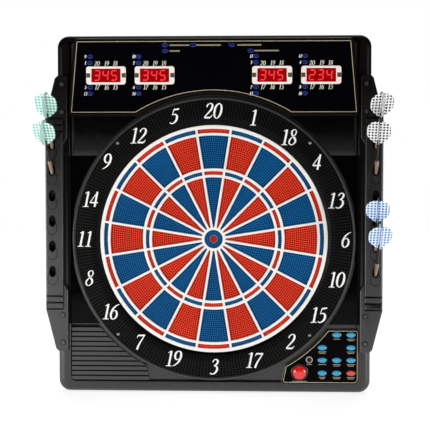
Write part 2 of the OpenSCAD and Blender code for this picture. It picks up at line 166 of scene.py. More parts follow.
def piece(name, verts, faces, material, body="housing", slot=None, sharp=35, lining=()):
    """A mesh from wall-frame points; faces index them. The lining's faces take the second of two
    materials."""
    mesh = new_mesh(name, verts, [*faces, *lining])
    for polygon in mesh.polygons[len(faces):]:
        polygon.material_index = 1
    return finish_mesh(name, mesh, material, body, slot, sharp)


def finish_mesh(name, mesh, material, body, slot, sharp=35):
    """Makes a mesh a piece that rides on a body."""
    clean(mesh, 2e-6)
    for finish in material if isinstance(material, tuple) else (material,):
        mesh.materials.append(finish)
    obj = linked(name, mesh)
    shade(obj, sharp)
    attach(obj, body)
    return obj


def shade(obj, sharp):
    """Smooth shading that keeps flat faces flat and breaks at sharp edges."""
    obj.data.polygons.foreach_set("use_smooth", [True] * len(obj.data.polygons))
    obj.data.set_sharp_from_angle(angle=math.radians(sharp))
    weigh = obj.modifiers.new("weigh", "WEIGHTED_NORMAL")
    weigh.keep_sharp = True
    apply(obj)


def evaluated_mesh(obj):
    """An object's mesh with its modifiers or its curve's shape worked out."""
    bpy.context.view_layer.update()
    shown = obj.evaluated_get(bpy.context.evaluated_depsgraph_get())
    return bpy.data.meshes.new_from_object(shown)


def apply(obj):
    """Turns a piece's modifiers into its mesh."""
    result = evaluated_mesh(obj)
    obj.modifiers.clear()
    obj.data = result


def merged(parts):
    """Joins (verts, faces) lists into one."""
    verts, faces = [], []
    for part_verts, part_faces in parts:
        base = len(verts)
        verts += part_verts
        faces += [tuple(i + base for i in face) for face in part_faces]
    return verts, faces


def moved(shape, matrix):
    """A (verts, faces) shape moved by a wall-frame matrix."""
    verts, faces = shape
    return [tuple(matrix @ Vector(v)) for v in verts], faces


def moved_to(x, up, out=0.0):
    return Matrix.Translation((x, up, out))


def polar(r, angle):
    """A point at a radius and an angle clockwise from straight up."""
    return (r * math.sin(angle), r * math.cos(angle))


def circle(r, x=0.0, up=0.0, count=96, squash=1.0):
    angles = [math.tau * k / count for k in range(count)]
    return [(x + r * math.cos(a), up + r * squash * math.sin(a)) for a in angles]


def arc_points(r, start, end, count):
    """Points from one angle to another, in degrees anticlockwise from the right."""
    angles = [math.radians(start + (end - start) * k / count) for k in range(count + 1)]
    return [(r * math.cos(a), r * math.sin(a)) for a in angles]


def rounded(corners, radius, count=6):
    """A polygon with its corners rounded; radius is one number or one for each corner."""
    points = []
    for k, corner in enumerate(corners):
        r = radius[k] if isinstance(radius, (list, tuple)) else radius
        here = Vector(corner)
        if r <= 0:
            points.append(tuple(here))
            continue
        back = Vector(corners[k - 1]) - here
        ahead = Vector(corners[(k + 1) % len(corners)]) - here
        half = back.angle(ahead) / 2
        reach = min(r / math.tan(half), back.length * 0.49, ahead.length * 0.49)
        r = reach * math.tan(half)
        middle = here + (back.normalized() + ahead.normalized()).normalized() * (r / math.sin(half))
        first = here + back.normalized() * reach - middle
        turn = first.angle_signed(here + ahead.normalized() * reach - middle)
        for j in range(count + 1):
            cosine, sine = math.cos(-turn * j / count), math.sin(-turn * j / count)
            points.append((middle.x + first.x * cosine - first.y * sine,
                           middle.y + first.x * sine + first.y * cosine))
    return points


def box_corners(left, right, low, high):
    return [(left, low), (right, low), (right, high), (left, high)]


def inset(outline, distance):
    """Moves each edge of an anticlockwise outline inwards; the point count stays the same."""
    moved_points = []
    for k, point in enumerate(outline):
        here = Vector(point)
        one = (here - Vector(outline[k - 1])).normalized()
        two = (Vector(outline[(k + 1) % len(outline)]) - here).normalized()
        normal = Vector((-one.y - two.y, one.x + two.x))
        if normal.length < 1e-9:
            normal = Vector((-one.y, one.x))
        normal.normalize()
        lean = max(0.35, normal.dot(Vector((-one.y, one.x))))
        moved_points.append(tuple(here + normal * (distance / lean)))
    return moved_points


def walls(one, two):
    """The faces between two loops of point numbers with equal counts."""
    count = len(one)
    return [(one[k], one[(k + 1) % count], two[(k + 1) % count], two[k]) for k in range(count)]


def loft(rings, closed=True):
    """A skin through rings of wall-frame points with equal counts, with or without its two ends."""
    count = len(rings[0])
    loops = [range(k * count, (k + 1) * count) for k in range(len(rings))]
    faces = [face for one, two in zip(loops, loops[1:]) for face in walls(one, two)]
    if closed:
        faces += [tuple(reversed(loops[0])), tuple(loops[-1])]
    return [point for ring in rings for point in ring], faces


def lift(outline, steps):
    """One ring of wall-frame points for each (inset, out) step of an outline."""
    return [[(x, up, out) for x, up in inset(outline, d)] for d, out in steps]


def raised(outline, steps):
    """Lofts one outline through (inset, out) steps."""
    return loft(lift(outline, steps))


def band(outline, steps):
    """Like raised(), open at both ends, for steps that come back to the first."""
    return loft(lift(outline, steps), closed=False)


def rounded_edge(back, front, radius, count=4):
    """Steps for raised(): straight sides and a rounded front edge."""
    steps = [(0.0, back)]
    for k in range(count + 1):
        angle = math.pi / 2 * k / count
        steps.append((radius * (1 - math.cos(angle)), front - radius * (1 - math.sin(angle))))
    return steps


def plate(name, outlines, back, front, material, bevel=0.0, rounds=2, slot=None):
    """A plate from closed outlines, the first its edge and the others holes, with rounded edges."""
    curve = bpy.data.curves.new("outlines", "CURVE")
    curve.dimensions = "2D"
    curve.fill_mode = "BOTH"
    for outline in outlines:
        spline = curve.splines.new("POLY")
        spline.points.add(len(outline) - 1)
        for point, (x, up) in zip(spline.points, outline):
            point.co = (x, up, 0, 1)
        spline.use_cyclic_u = True
    curve.extrude = (front - back) / 2 - bevel
    curve.bevel_depth = bevel
    curve.bevel_resolution = rounds
    curve.offset = -bevel
    holder = linked("outlines", curve)
    mesh = evaluated_mesh(holder)
    middle = (front + back) / 2
    for vertex in mesh.vertices:
        vertex.co = at(vertex.co.x, vertex.co.y, vertex.co.z + middle)
    bpy.data.objects.remove(holder)
    bpy.data.curves.remove(curve)
    return finish_mesh(name, mesh, material, "housing", slot, 40)


def lathe(profile, count=32, matrix=None):
    """Turns (radius, out) points about the out axis, then moves them by a wall-frame matrix."""
    rings = [[(x, up, out) for x, up in circle(r, count=count)] for r, out in profile]
    shape = loft(rings, closed=profile[0] != profile[-1])
    return shape if matrix is None else moved(shape, matrix)


def bar(x0, x1, up0, up1, back, front, edge=0.3):
    """A small raised bar with a soft edge."""
    return raised(box_corners(x0, x1, up0, up1), [(0, back), (0, front - edge), (edge, front)])


def side_bar(side, x0, x1, *rest):
    """A bar on the left (-1) or the right (1), its two edges given for the right."""
    return bar(*sorted((side * x0, side * x1)), *rest)


def print_bar(x, half_width, up0, up1, surface):
    """The plain bar that stands for a printed word, centred on x."""
    return bar(x - half_width, x + half_width, up0, up1, surface + PRINT_BACK, surface + PRINT_FRONT, 0.05)


def combine(obj, solids, operation, lining=None):
    """Cuts closed (verts, faces) lists out of a piece, or joins them to it. A lining is the material
    of the cut's walls."""
    mesh = new_mesh("tool", *merged(solids))
    clean(mesh)
    tool = linked("tool", mesh)
    change = obj.modifiers.new("combine", "BOOLEAN")
    change.operation = operation
    change.solver = "EXACT"
    if lining:
        mesh.materials.append(lining)
        change.material_mode = "TRANSFER"
    change.object = tool
    apply(obj)
    bpy.data.objects.remove(tool)
    shade(obj, 35)


# ---- materials ----

def new_material(name):
    material = bpy.data.materials.new(name)
    material.use_nodes = True
    return material, material.node_tree, material.node_tree.nodes["Principled BSDF"]


def give(tree, socket, value):
    """Sets a socket to a number or a colour, or links it to another node's output."""
    if isinstance(value, bpy.types.NodeSocket):
        tree.links.new(value, socket)
    else:
        socket.default_value = value


def fill(tree, node, **inputs):
    """Gives a node its inputs by name; an underscore stands for a space."""
    for name, value in inputs.items():
        give(tree, node.inputs[name.replace("_", " ")], value)


def added(tree, kind, **inputs):
    """A new shader node with its inputs filled in."""
    node = tree.nodes.new("ShaderNode" + kind)
    fill(tree, node, **inputs)
    return node


def noise(tree, scale, detail=4.0, rough=0.5):
    place = added(tree, "TexCoord").outputs["Object"]
    made = added(tree, "TexNoise", Vector=place, Scale=scale, Detail=detail, Roughness=rough)
    return made.outputs["Fac"]


def spread(tree, source, low, high, start=0.3, end=0.7):
    """A value's range from start to end, stretched to run from low to high."""
    made = added(tree, "MapRange", Value=source, From_Min=start, From_Max=end, To_Min=low, To_Max=high)
    return made.outputs["Result"]


def mixed(tree, factor, one, two):
    made = tree.nodes.new("ShaderNodeMix")
    made.data_type = "RGBA"
    fill(tree, made, Factor=factor, A=(*one, 1), B=(*two, 1))
    return made.outputs["Result"]


def bumped(tree, shader, height, strength, distance):
    made = added(tree, "Bump", Strength=strength, Distance=distance, Height=height)
    fill(tree, shader, Normal=made.outputs["Normal"])


def by_height(tree, low, high, at_low, at_high):
    """A value that changes with height on the board, between two heights in metres."""
    place = added(tree, "TexCoord").outputs["Object"]
    split = added(tree, "SeparateXYZ", Vector=place)
    return spread(tree, split.outputs["Z"], at_low, at_high, low, high)


def moulded(name, colour, rough, grain=900.0, depth=0.00006, vary=0.25, coat=0.0, specular=0.5, painted_sheen_heights=None):
    """Moulded plastic: a fine spark-eroded grain, slow colour drift and handling marks. Two heights, where
    given, paint the sheen: full specular level below the first, almost none above the second, so the top is
    painted darker."""
    material, tree, shader = new_material(name)
    dark = tuple(c * (1 - vary) for c in colour)
    light = tuple(c * (1 + vary) for c in colour)
    drift = spread(tree, noise(tree, 9.0, 3.0), 0, 1)
    marks = noise(tree, 60.0, 6.0, 0.65)
    # Painted sheen: the specular level falls with height, leaving the upper board darker.
    painted_sheen = by_height(tree, *painted_sheen_heights, specular, 0.06) if painted_sheen_heights else specular
    fill(tree, shader, Base_Color=mixed(tree, drift, dark, light), Coat_Weight=coat, Coat_Roughness=0.08,
         Roughness=spread(tree, marks, rough - 0.05, rough + 0.06), Specular_IOR_Level=painted_sheen)
    if depth:
        bumped(tree, shader, noise(tree, grain, 2.0), 0.6, depth)
    return material


def metal(name, colour, rough, grain=500.0):
    material, tree, shader = new_material(name)
    fine = noise(tree, grain, 4.0, 0.6)
    drift = spread(tree, noise(tree, 40.0, 3.0), 0, 1)
    dark = tuple(c * 0.75 for c in colour)
    fill(tree, shader, Base_Color=mixed(tree, drift, dark, colour), Metallic=1.0,
         Roughness=spread(tree, fine, rough - 0.07, rough + 0.1))
    bumped(tree, shader, fine, 0.3, 0.00003)
    return material


def glowing(name, colour, strength, rough=0.3):
    material, tree, shader = new_material(name)
    dim = tuple(c * 0.8 for c in colour)
    tint = mixed(tree, spread(tree, noise(tree, 300.0, 2.0), 0, 1), dim, colour)
    fill(tree, shader, Base_Color=tint, Emission_Color=tint, Emission_Strength=strength, Roughness=rough,
         Specular_IOR_Level=0.1)
    return material


def dotted(name, ground, dot, pitch=5.5, share=0.34):
    """A printed flight: rows of dots. The flight's UVs are in millimetres."""
    material, tree, shader = new_material(name)
    split = added(tree, "SeparateXYZ", Vector=added(tree, "UVMap").outputs["UV"])

    def maths(operation, *values):
        made = tree.nodes.new("ShaderNodeMath")
        made.operation = operation
        for socket, value in zip(made.inputs, values):
            give(tree, socket, value)
        return made.outputs["Value"]

    def squared_offset(axis):
        """How far a point is from its dot's middle along one axis, squared."""
        offset = maths("SUBTRACT", maths("FRACT", maths("DIVIDE", split.outputs[axis], pitch)), 0.5)
        return maths("MULTIPLY", offset, offset)

    away = maths("SQRT", maths("ADD", squared_offset("X"), squared_offset("Y")))
    edge = spread(tree, away, 0, 1, share - 0.02, share + 0.02)
    fill(tree, shader, Base_Color=mixed(tree, edge, dot, ground),
         Roughness=spread(tree, noise(tree, 200.0), 0.28, 0.42))
    bumped(tree, shader, noise(tree, 30.0, 2.0), 0.3, 0.0008)
    return material


# Film, print and polished plastic have no grain
smooth = partial(moulded, depth=0)

# black_abs and shoulder_abs lose their sheen above their two given heights: painted sheen, darker towards the
# top.
BLACK = moulded("black_abs", (0.0046, 0.0035, 0.0027), 0.30, specular=0.8, painted_sheen_heights=(-0.08, 0.20))
SHOULDER = moulded("shoulder_abs", (0.0010, 0.0009, 0.0008), 0.24, grain=1200, depth=0.00002, specular=0.35,
                   painted_sheen_heights=(0.148, 0.185))
REAR = moulded("rear_abs", (0.028, 0.028, 0.028), 0.5, grain=600, depth=0.0001)
GLOSS = smooth("gloss_overlay", (0.0010, 0.0010, 0.0020), 0.18, specular=0.07)
KEY_FILM = smooth("key_overlay", (0.0012, 0.0008, 0.0010), 0.2, specular=0.03)
INLAY = smooth("gloss_inlay", (0.0010, 0.0010, 0.0014), 0.09, specular=0.07)
# Near-black: the ring's lip and the rack washers, and painted shade in the strips along the rim and the racks
# and on the walls of the racks' sockets and grooves.
TRIM_AND_SHADE = smooth("strip_black", (0.0012, 0.0010, 0.0010), 0.4, specular=0.08)
# The bead's grey is far lighter than the ring's ribs: a painted highlight along its edge; its sheen also
# fades with height, painted sheen.
BEAD_HIGHLIGHT = moulded("ring_bead_painted_highlight", (0.030, 0.030, 0.028), 0.34, specular=1.0, painted_sheen_heights=(-0.08, 0.25))
RING_RIB = moulded("ring_ribs", (0.0044, 0.0044, 0.0041), 0.38, specular=0.22)
# Near-black for the walls and floors of the ring's holes and for the sheet under the grille: painted shade in
# recesses.
RECESS_SHADE = smooth("ring_holes", (0.0006, 0.0006, 0.0006), 0.6, specular=0.1)
WEB = moulded("spider_white", (0.90, 0.885, 0.85), 0.36, vary=0.03, grain=1500, depth=0.00003)
# rack_abs loses its sheen above its two given heights: painted sheen, darker towards the top.
RACK = moulded("rack_abs", (0.0062, 0.0054, 0.0050), 0.36, grain=500, depth=0.0001, specular=1.0,
               painted_sheen_heights=(0.0, 0.26))
GREY = moulded("grille_abs", (0.006, 0.006, 0.0055), 0.36, grain=600, depth=0.00008, specular=0.9)
# A lighter copy of the grille plastic for the slats: painted sheen.
SLAT_SHEEN = moulded("grille_slats", (0.010, 0.010, 0.0095), 0.34, grain=600, depth=0.00008, specular=1.0)
SEG_BLUE = moulded("segment_blue", (0.004, 0.112, 0.325), 0.42, vary=0.10, grain=1500, depth=0.00003,
                   specular=0.15)
# The hole walls and floors are a much darker blue: painted shade in the holes.
SEG_BLUE_HOLE_SHADE = smooth("segment_blue_holes", (0.001, 0.012, 0.035), 0.6, specular=0.1)
SEG_RED = moulded("segment_red", (0.86, 0.046, 0.018), 0.42, vary=0.08, grain=1500, depth=0.00003,
                  specular=0.15)
# The hole walls and floors are a much darker red: painted shade in the holes.
SEG_RED_HOLE_SHADE = smooth("segment_red_holes", (0.12, 0.004, 0.002), 0.6, specular=0.1)
# A darker copy of the segment red for the bullseye: painted shade from its hole.
EYE_RED_SHADED = moulded("bullseye_red_painted_shade", (0.34, 0.010, 0.009), 0.45, vary=0.08, depth=0.00003, specular=0.2)
DIVIDER = smooth("bull_divider", (0.22, 0.22, 0.23), 0.4, vary=0.05)
NUMERAL = smooth("numeral_white", (0.93, 0.92, 0.89), 0.5, vary=0.02)
GOLD = smooth("gold_line", (0.50, 0.43, 0.28), 0.35, vary=0.06)
BEZEL = smooth("bezel_white", (0.97, 0.88, 0.81), 0.3, vary=0.02)
# The display windows glow a little though they are no lamps: a painted glow of red light.
FILTER_GLOW = glowing("filter_red", (0.23, 0.001, 0.002), 0.5, 0.12)
DIGIT = glowing("digit_red", (1.0, 0.04, 0.05), 0.45)
LED = smooth("led_blue", (0.004, 0.010, 0.06), 0.25)
LED_RIM = smooth("led_rim", (0.03, 0.06, 0.48), 0.4)
PRINT = smooth("cream_print", (0.90, 0.84, 0.68), 0.5, vary=0.03)
LABEL = smooth("label_bars", (0.26, 0.23, 0.16), 0.5, vary=0.06)
TAB = smooth("tab_brown", (0.085, 0.045, 0.028), 0.5)
KEY_BLUE = smooth("key_blue", (0.02, 0.30, 0.52), 0.16, vary=0.05, coat=0.8)
KEY_RED = smooth("key_red", (0.62, 0.05, 0.035), 0.16, vary=0.05, coat=0.8)
START = smooth("start_red", (0.72, 0.010, 0.006), 0.2, vary=0.05, coat=0.8)
# The reset ring is a light grey non-metal: its chrome reflection is painted into its colour.
CHROME_PAINTED_REFLECTION = smooth("reset_metal", (0.50, 0.50, 0.48), 0.25, vary=0.1)
SCREW = metal("screw_steel", (0.12, 0.12, 0.115), 0.4)
RING_SCREW = metal("ring_screw_steel", (0.45, 0.45, 0.43), 0.35)
BRASS = metal("barrel_brass", (0.42, 0.30, 0.22), 0.35)
SHAFT = smooth("shaft_black", (0.010, 0.007, 0.007), 0.35, specular=0.25)
TIP = smooth("tip_nylon", (0.02, 0.02, 0.02), 0.35)
MINT = dotted("flight_mint", (0.80, 0.97, 0.93), (0.08, 0.44, 0.32))
WHITE_DOTS = dotted("flight_white", (0.96, 0.96, 0.96), (0.015, 0.015, 0.02))
BLUE_DOTS = dotted("flight_blue", (0.86, 0.95, 0.99), (0.03, 0.18, 0.58))
BOARD = smooth("circuit_board", (0.02, 0.14, 0.05), 0.35, vary=0.15)
CHIP = moulded("module_grey", (0.45, 0.45, 0.42), 0.4)
FIBRE = moulded("fibreboard", (0.28, 0.18, 0.10), 0.8, grain=300, depth=0.0002)
FILM = smooth("film", (0.55, 0.52, 0.40), 0.35)
CONE = moulded("speaker_steel", (0.05, 0.05, 0.05), 0.5)


# ---- digits ----

# Each stroke is a list of (x, up, half width) on a digit one unit high, before it is slanted
DIGITS = {
    "0": [[(0.28, 0.965, 0.028), (0.12, 0.80, 0.062), (0.07, 0.49, 0.075), (0.12, 0.18, 0.062),
           (0.28, 0.015, 0.028), (0.44, 0.18, 0.062), (0.49, 0.49, 0.075), (0.44, 0.80, 0.062),
           (0.28, 0.965, 0.028)]],
    "1": [[(0.29, 0.98, 0.07), (0.29, 0.5, 0.068), (0.29, 0.01, 0.07)],
          [(0.11, 0.87, 0.018), (0.20, 0.91, 0.028), (0.31, 0.965, 0.03)],
          [(0.10, 0.016, 0.02), (0.29, 0.03, 0.034), (0.48, 0.016, 0.02)]],
    "2": [[(0.10, 0.72, 0.045), (0.11, 0.84, 0.04), (0.26, 0.96, 0.032), (0.42, 0.87, 0.06),
           (0.43, 0.66, 0.072), (0.32, 0.44, 0.055), (0.14, 0.20, 0.036), (0.06, 0.08, 0.03)],
          [(0.05, 0.065, 0.055), (0.25, 0.06, 0.06), (0.43, 0.055, 0.055)],
          [(0.42, 0.07, 0.05), (0.49, 0.14, 0.028), (0.52, 0.23, 0.016)]],
    "3": [[(0.10, 0.78, 0.03), (0.15, 0.91, 0.035), (0.28, 0.965, 0.034), (0.41, 0.86, 0.064),
           (0.38, 0.67, 0.06), (0.22, 0.545, 0.026)],
          [(0.22, 0.55, 0.026), (0.38, 0.52, 0.05), (0.47, 0.32, 0.076), (0.38, 0.10, 0.06),
           (0.20, 0.02, 0.034), (0.07, 0.09, 0.05)]],
    "4": [[(0.40, 0.965, 0.028), (0.20, 0.62, 0.028), (0.03, 0.30, 0.03)],
          [(0.02, 0.275, 0.045), (0.28, 0.275, 0.047), (0.53, 0.275, 0.045)],
          [(0.37, 0.97, 0.06), (0.37, 0.5, 0.066), (0.37, 0.01, 0.066)]],
    "5": [[(0.17, 0.90, 0.05), (0.32, 0.91, 0.055), (0.48, 0.95, 0.04)],
          [(0.175, 0.93, 0.03), (0.145, 0.74, 0.026), (0.12, 0.56, 0.022)],
          [(0.13, 0.56, 0.022), (0.27, 0.60, 0.04), (0.43, 0.50, 0.07), (0.45, 0.27, 0.078),
           (0.34, 0.08, 0.055), (0.18, 0.015, 0.034), (0.06, 0.08, 0.045)]],
    "6": [[(0.49, 0.965, 0.02), (0.32, 0.87, 0.04), (0.15, 0.66, 0.06), (0.08, 0.36, 0.075),
           (0.14, 0.10, 0.06), (0.28, 0.012, 0.03), (0.43, 0.12, 0.06), (0.46, 0.33, 0.07),
           (0.38, 0.52, 0.052), (0.25, 0.56, 0.028), (0.14, 0.48, 0.022)]],
    "7": [[(0.09, 0.91, 0.055), (0.30, 0.905, 0.058), (0.52, 0.915, 0.05)],
          [(0.10, 0.92, 0.04), (0.065, 0.83, 0.026), (0.05, 0.74, 0.014)],
          [(0.50, 0.92, 0.03), (0.36, 0.60, 0.045), (0.24, 0.30, 0.062), (0.18, 0.0, 0.075)]],
    "8": [[(0.41, 0.80, 0.045), (0.37, 0.93, 0.036), (0.26, 0.97, 0.028), (0.14, 0.89, 0.05),
           (0.14, 0.73, 0.062), (0.27, 0.54, 0.07), (0.43, 0.36, 0.07), (0.45, 0.17, 0.055),
           (0.27, 0.012, 0.03), (0.10, 0.12, 0.05), (0.09, 0.32, 0.05), (0.22, 0.50, 0.034),
           (0.37, 0.64, 0.034), (0.41, 0.80, 0.045)]],
}
DIGITS["9"] = [[(0.55 - x, 0.98 - up, w) for x, up, w in stroke] for stroke in DIGITS["6"]]
SLANT = 0.20


def smooth_line(points, steps=5):
    """Catmull-Rom samples through stroke points, width included."""
    line = []
    padded = [Vector(p) for p in (points[0], *points, points[-1])]
    for p0, p1, p2, p3 in zip(padded, padded[1:], padded[2:], padded[3:]):
        for j in range(steps):
            t = j / steps
            line.append(0.5 * (2 * p1 + (p2 - p0) * t + (2 * p0 - 5 * p1 + 4 * p2 - p3) * t * t
                               + (3 * p1 - p0 - 3 * p2 + p3) * t ** 3))
    line.append(padded[-1])
    return line


def stroke_solid(points, back, front):
    """A flat ribbon of changing width, as a closed solid."""
    line = [Vector((x, up)) for x, up, _ in points]
    rings = []
    for k, here in enumerate(line):
        ahead = (line[min(k + 1, len(line) - 1)] - line[max(k - 1, 0)]).normalized()
        side = Vector((-ahead.y, ahead.x)) * points[k][2]
        corners = [(here + side, back), (here - side, back), (here - side, front), (here + side, front)]
        rings.append([(p.x, p.y, out) for p, out in corners])
    return loft(rings)


def digit_solids(character, x, up, height, back, front, weight):
    """One digit's strokes, standing with its left foot at x and its base at up. Each stroke stands a
    little above the last, so that no two faces coincide."""
    solids = []
    for k, stroke in enumerate(DIGITS[character]):
        line = [(x + (px + SLANT * py) * height, up + py * height, max(half, 0.012) * height * weight)
                for px, py, half in smooth_line(stroke)]
        solids.append(stroke_solid(line, back, front + 0.02 * k))
    return solids


DIGIT_ADVANCE = {"1": 0.49, "7": 0.52, "4": 0.57}


def number_solids(number, x, up, height, back, front, weight=1.0):
    """A number centred on (x, up)."""
    text = str(number)
    widths = [DIGIT_ADVANCE.get(c, 0.56) for c in text]
    total = sum(widths) * height
    cursor = x - total / 2 - SLANT * height / 2
    solids = []
    for character, width in zip(text, widths):
        solids += digit_solids(character, cursor, up - height / 2, height, back, front, weight)
        cursor += width * height
    return solids


# The lit bars of the digits shown, and each bar's two ends on a digit one unit wide and high
LIT_BARS = {"2": "abged", "3": "abgcd", "4": "fgbc", "5": "afgcd"}
BAR_ENDS = {
    "a": ((0, 1), (1, 1)), "b": ((1, 1), (1, 0.5)), "c": ((1, 0.5), (1, 0)), "d": ((0, 0), (1, 0)),
    "e": ((0, 0.5), (0, 0)), "f": ((0, 1), (0, 0.5)), "g": ((0, 0.5), (1, 0.5)),
}


def seven_segment(character, x, up, width, height, back, front):
    """A lit seven-segment digit whose lower left corner is (x, up)."""
    half = height * 0.065
    lean = 0.09
    solids = []
    for name in LIT_BARS[character]:
        one, two = (Vector((x + px * width, up + py * height)) for px, py in BAR_ENDS[name])
        along = (two - one).normalized()
        side = Vector((-along.y, along.x)) * half
        one += along * half * 0.35
        two -= along * half * 0.35
        shape = [one, one + along * half - side, two - along * half - side, two,
                 two - along * half + side, one + along * half + side]
        outline = [(p.x + lean * (p.y - up), p.y) for p in shape]
        solids.append(raised(outline, [(0, back), (0, front)]))
    return solids


# ---- target ----

def clear_angle(r, edge):
    """Half the angle of a field at a radius, inside the spokes and an edge margin."""
    return STEP / 2 - math.asin((SPOKE / 2 + GAP + edge) / r)


def field_point(u, r, index, edge, out):
    """A point of field number index; u runs from 0 to 1 across it, clockwise."""
    return (*polar(r, index * STEP + clear_angle(r, edge) * (2 * u - 1)), out)


def hole_points(cell, hole, depth):
    """The rim and the floor of an octagonal hole in the middle of a cell of four corners."""
    a, b, c, d = cell
    middle = (a + b + c + d) / 4
    across = ((b + c) / 2 - (a + d) / 2)
    along = ((c + d) / 2 - (a + b) / 2)
    wide, tall = hole(across.length, along.length)
    across.normalize()
    along = (along - across * along.dot(across)).normalized()
    inner = across.cross(along).normalized()
    if inner.z < 0:
        inner = -inner
    edge = []
    for n in range(8):
        angle = math.radians(22.5 + 45 * n)
        edge.append(middle + across * (math.cos(angle) * wide) + along * (math.sin(angle) * tall))
    return [tuple(p) for p in edge], [tuple(p - inner * depth) for p in edge]


def row_marks(rows):
    """The places, from 0 to 1, where the cells of the rows on either side meet each boundary."""
    marks = []
    for k in range(len(rows) + 1):
        beside = rows[max(k - 1, 0):k + 1]
        marks.append(sorted({round(j / columns, 7) for columns in beside for j in range(columns + 1)}))
    return marks


def drilled(rows, places, hole, depth):
    """A drilled sheet. rows gives each row's column count; places(u, k) gives the point on the
    boundary of row k; the holes are octagons, and the lining holds their walls and floors."""
    verts, faces, lining, known = [], [], [], {}
    marks = row_marks(rows)

    def boundary(k, start, end):
        """The numbers of the points of boundary k from one mark to another."""
        for u in marks[k]:
            if start <= u <= end and (k, u) not in known:
                known[k, u] = len(verts)
                verts.append(places(u, k))
        return [known[k, u] for u in marks[k] if start <= u <= end]

    for k, columns in enumerate(rows):
        for j in range(columns):
            ends = round(j / columns, 7), round((j + 1) / columns, 7)
            low, high = boundary(k, *ends), boundary(k + 1, *ends)
            cell = [Vector(verts[i]) for i in (low[0], low[-1], high[-1], high[0])]
            base = len(verts)
            for points in hole_points(cell, hole, depth):
                verts += points
            top, floor = range(base, base + 8), range(base + 8, base + 16)
            # The rim's points, from just above the right of the hole, anticlockwise
            r1, t1, t2, l1, l2, b1, b2, r2 = top
            faces += [
                tuple(low) + (b2, b1), (low[-1], high[-1], r1, r2), tuple(reversed(high)) + (t2, t1),
                (high[0], low[0], l2, l1), (low[-1], r2, b2), (high[-1], t1, r1), (high[0], l1, t2),
                (low[0], b1, l2),
            ]
            lining += [*walls(top, floor), tuple(floor)]
    return verts, faces, lining, known, marks


def round_hole(across, along):
    return (0.38 * min(across, along),) * 2


def oblong_hole(across, along):
    return (0.42 * across, 0.49 * along)


def skirted(verts, faces, loop, rings):
    """Adds walls from a loop of points through rings of new ones, and gives the last loop."""
    for ring in rings:
        below = range(len(verts), len(verts) + len(ring))
        verts += ring
        faces += walls(loop, below)
        loop = below
    return loop


def field_solid(r_in, r_out, index):
    """One moulded scoring segment with its lattice of dart holes, its soft edge and its flange."""
    low, high = r_in + GAP, r_out - GAP
    count = max(2, round((high - low - 1.0) / HOLE_PITCH))
    radii = [low + SOFT_EDGE + (high - low - 2 * SOFT_EDGE) * k / count for k in range(count + 1)]
    middles = [(inner + outer) / 2 for inner, outer in zip(radii, radii[1:])]
    rows = [max(1, round(2 * clear_angle(r, SOFT_EDGE) * r / HOLE_PITCH)) for r in middles]

    def places(u, k):
        return field_point(u, radii[k], index, SOFT_EDGE, FIELD_Z)

    verts, faces, lining, known, marks = drilled(rows, places, round_hole, HOLE_DEPTH)
    loop = [(0, u) for u in marks[0]] + [(k, 1.0) for k in range(1, count)]
    loop += [(count, u) for u in reversed(marks[count])] + [(k, 0.0) for k in range(count - 1, 0, -1)]

    def ring(flange, out):
        ends = {0: low - flange, count: high + flange}
        return [field_point(u, ends.get(k, radii[k]), index, -flange, out) for k, u in loop]

    back = FIELD_BACK + 3
    rings = [ring(0.0, FIELD_Z - SOFT_EDGE), ring(0.0, back), ring(FLANGE, back), ring(FLANGE, FIELD_BACK)]
    faces.append(tuple(skirted(verts, faces, [known[key] for key in loop], rings)))
    return verts, faces, lining


def lined(solids):
    """Joins (verts, faces, lining) lists into one."""
    verts, faces = merged([(verts, faces) for verts, faces, _ in solids])
    return verts, faces, merged([(verts, lining) for verts, _, lining in solids])[1]


def target():
    """The scoring segments: a number's singles in one colour, its double and triple in the other."""
    # The second finish of each pair lines the dart holes with painted shade.
    blue, red = (SEG_BLUE, SEG_BLUE_HOLE_SHADE), (SEG_RED, SEG_RED_HOLE_SHADE)
    for index, number in enumerate(NUMBERS):
        name = f"segments_{number:02d}"
        finishes = [(blue, "segment_blue"), (red, "segment_red")]
        if index % 2:
            finishes.reverse()
        (main, main_slot), (bands, bands_slot) = finishes
        verts, faces, lining = lined([field_solid(*FIELDS[k], index) for k in ("outer", "inner")])
        obj = piece(name + "_singles", verts, faces, main, name, main_slot, 50, lining)
        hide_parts(name)
        verts, faces, lining = lined([field_solid(*FIELDS[k], index) for k in ("double", "triple")])
        piece(name + "_bands", verts, faces, bands, name, bands_slot, 50, lining)


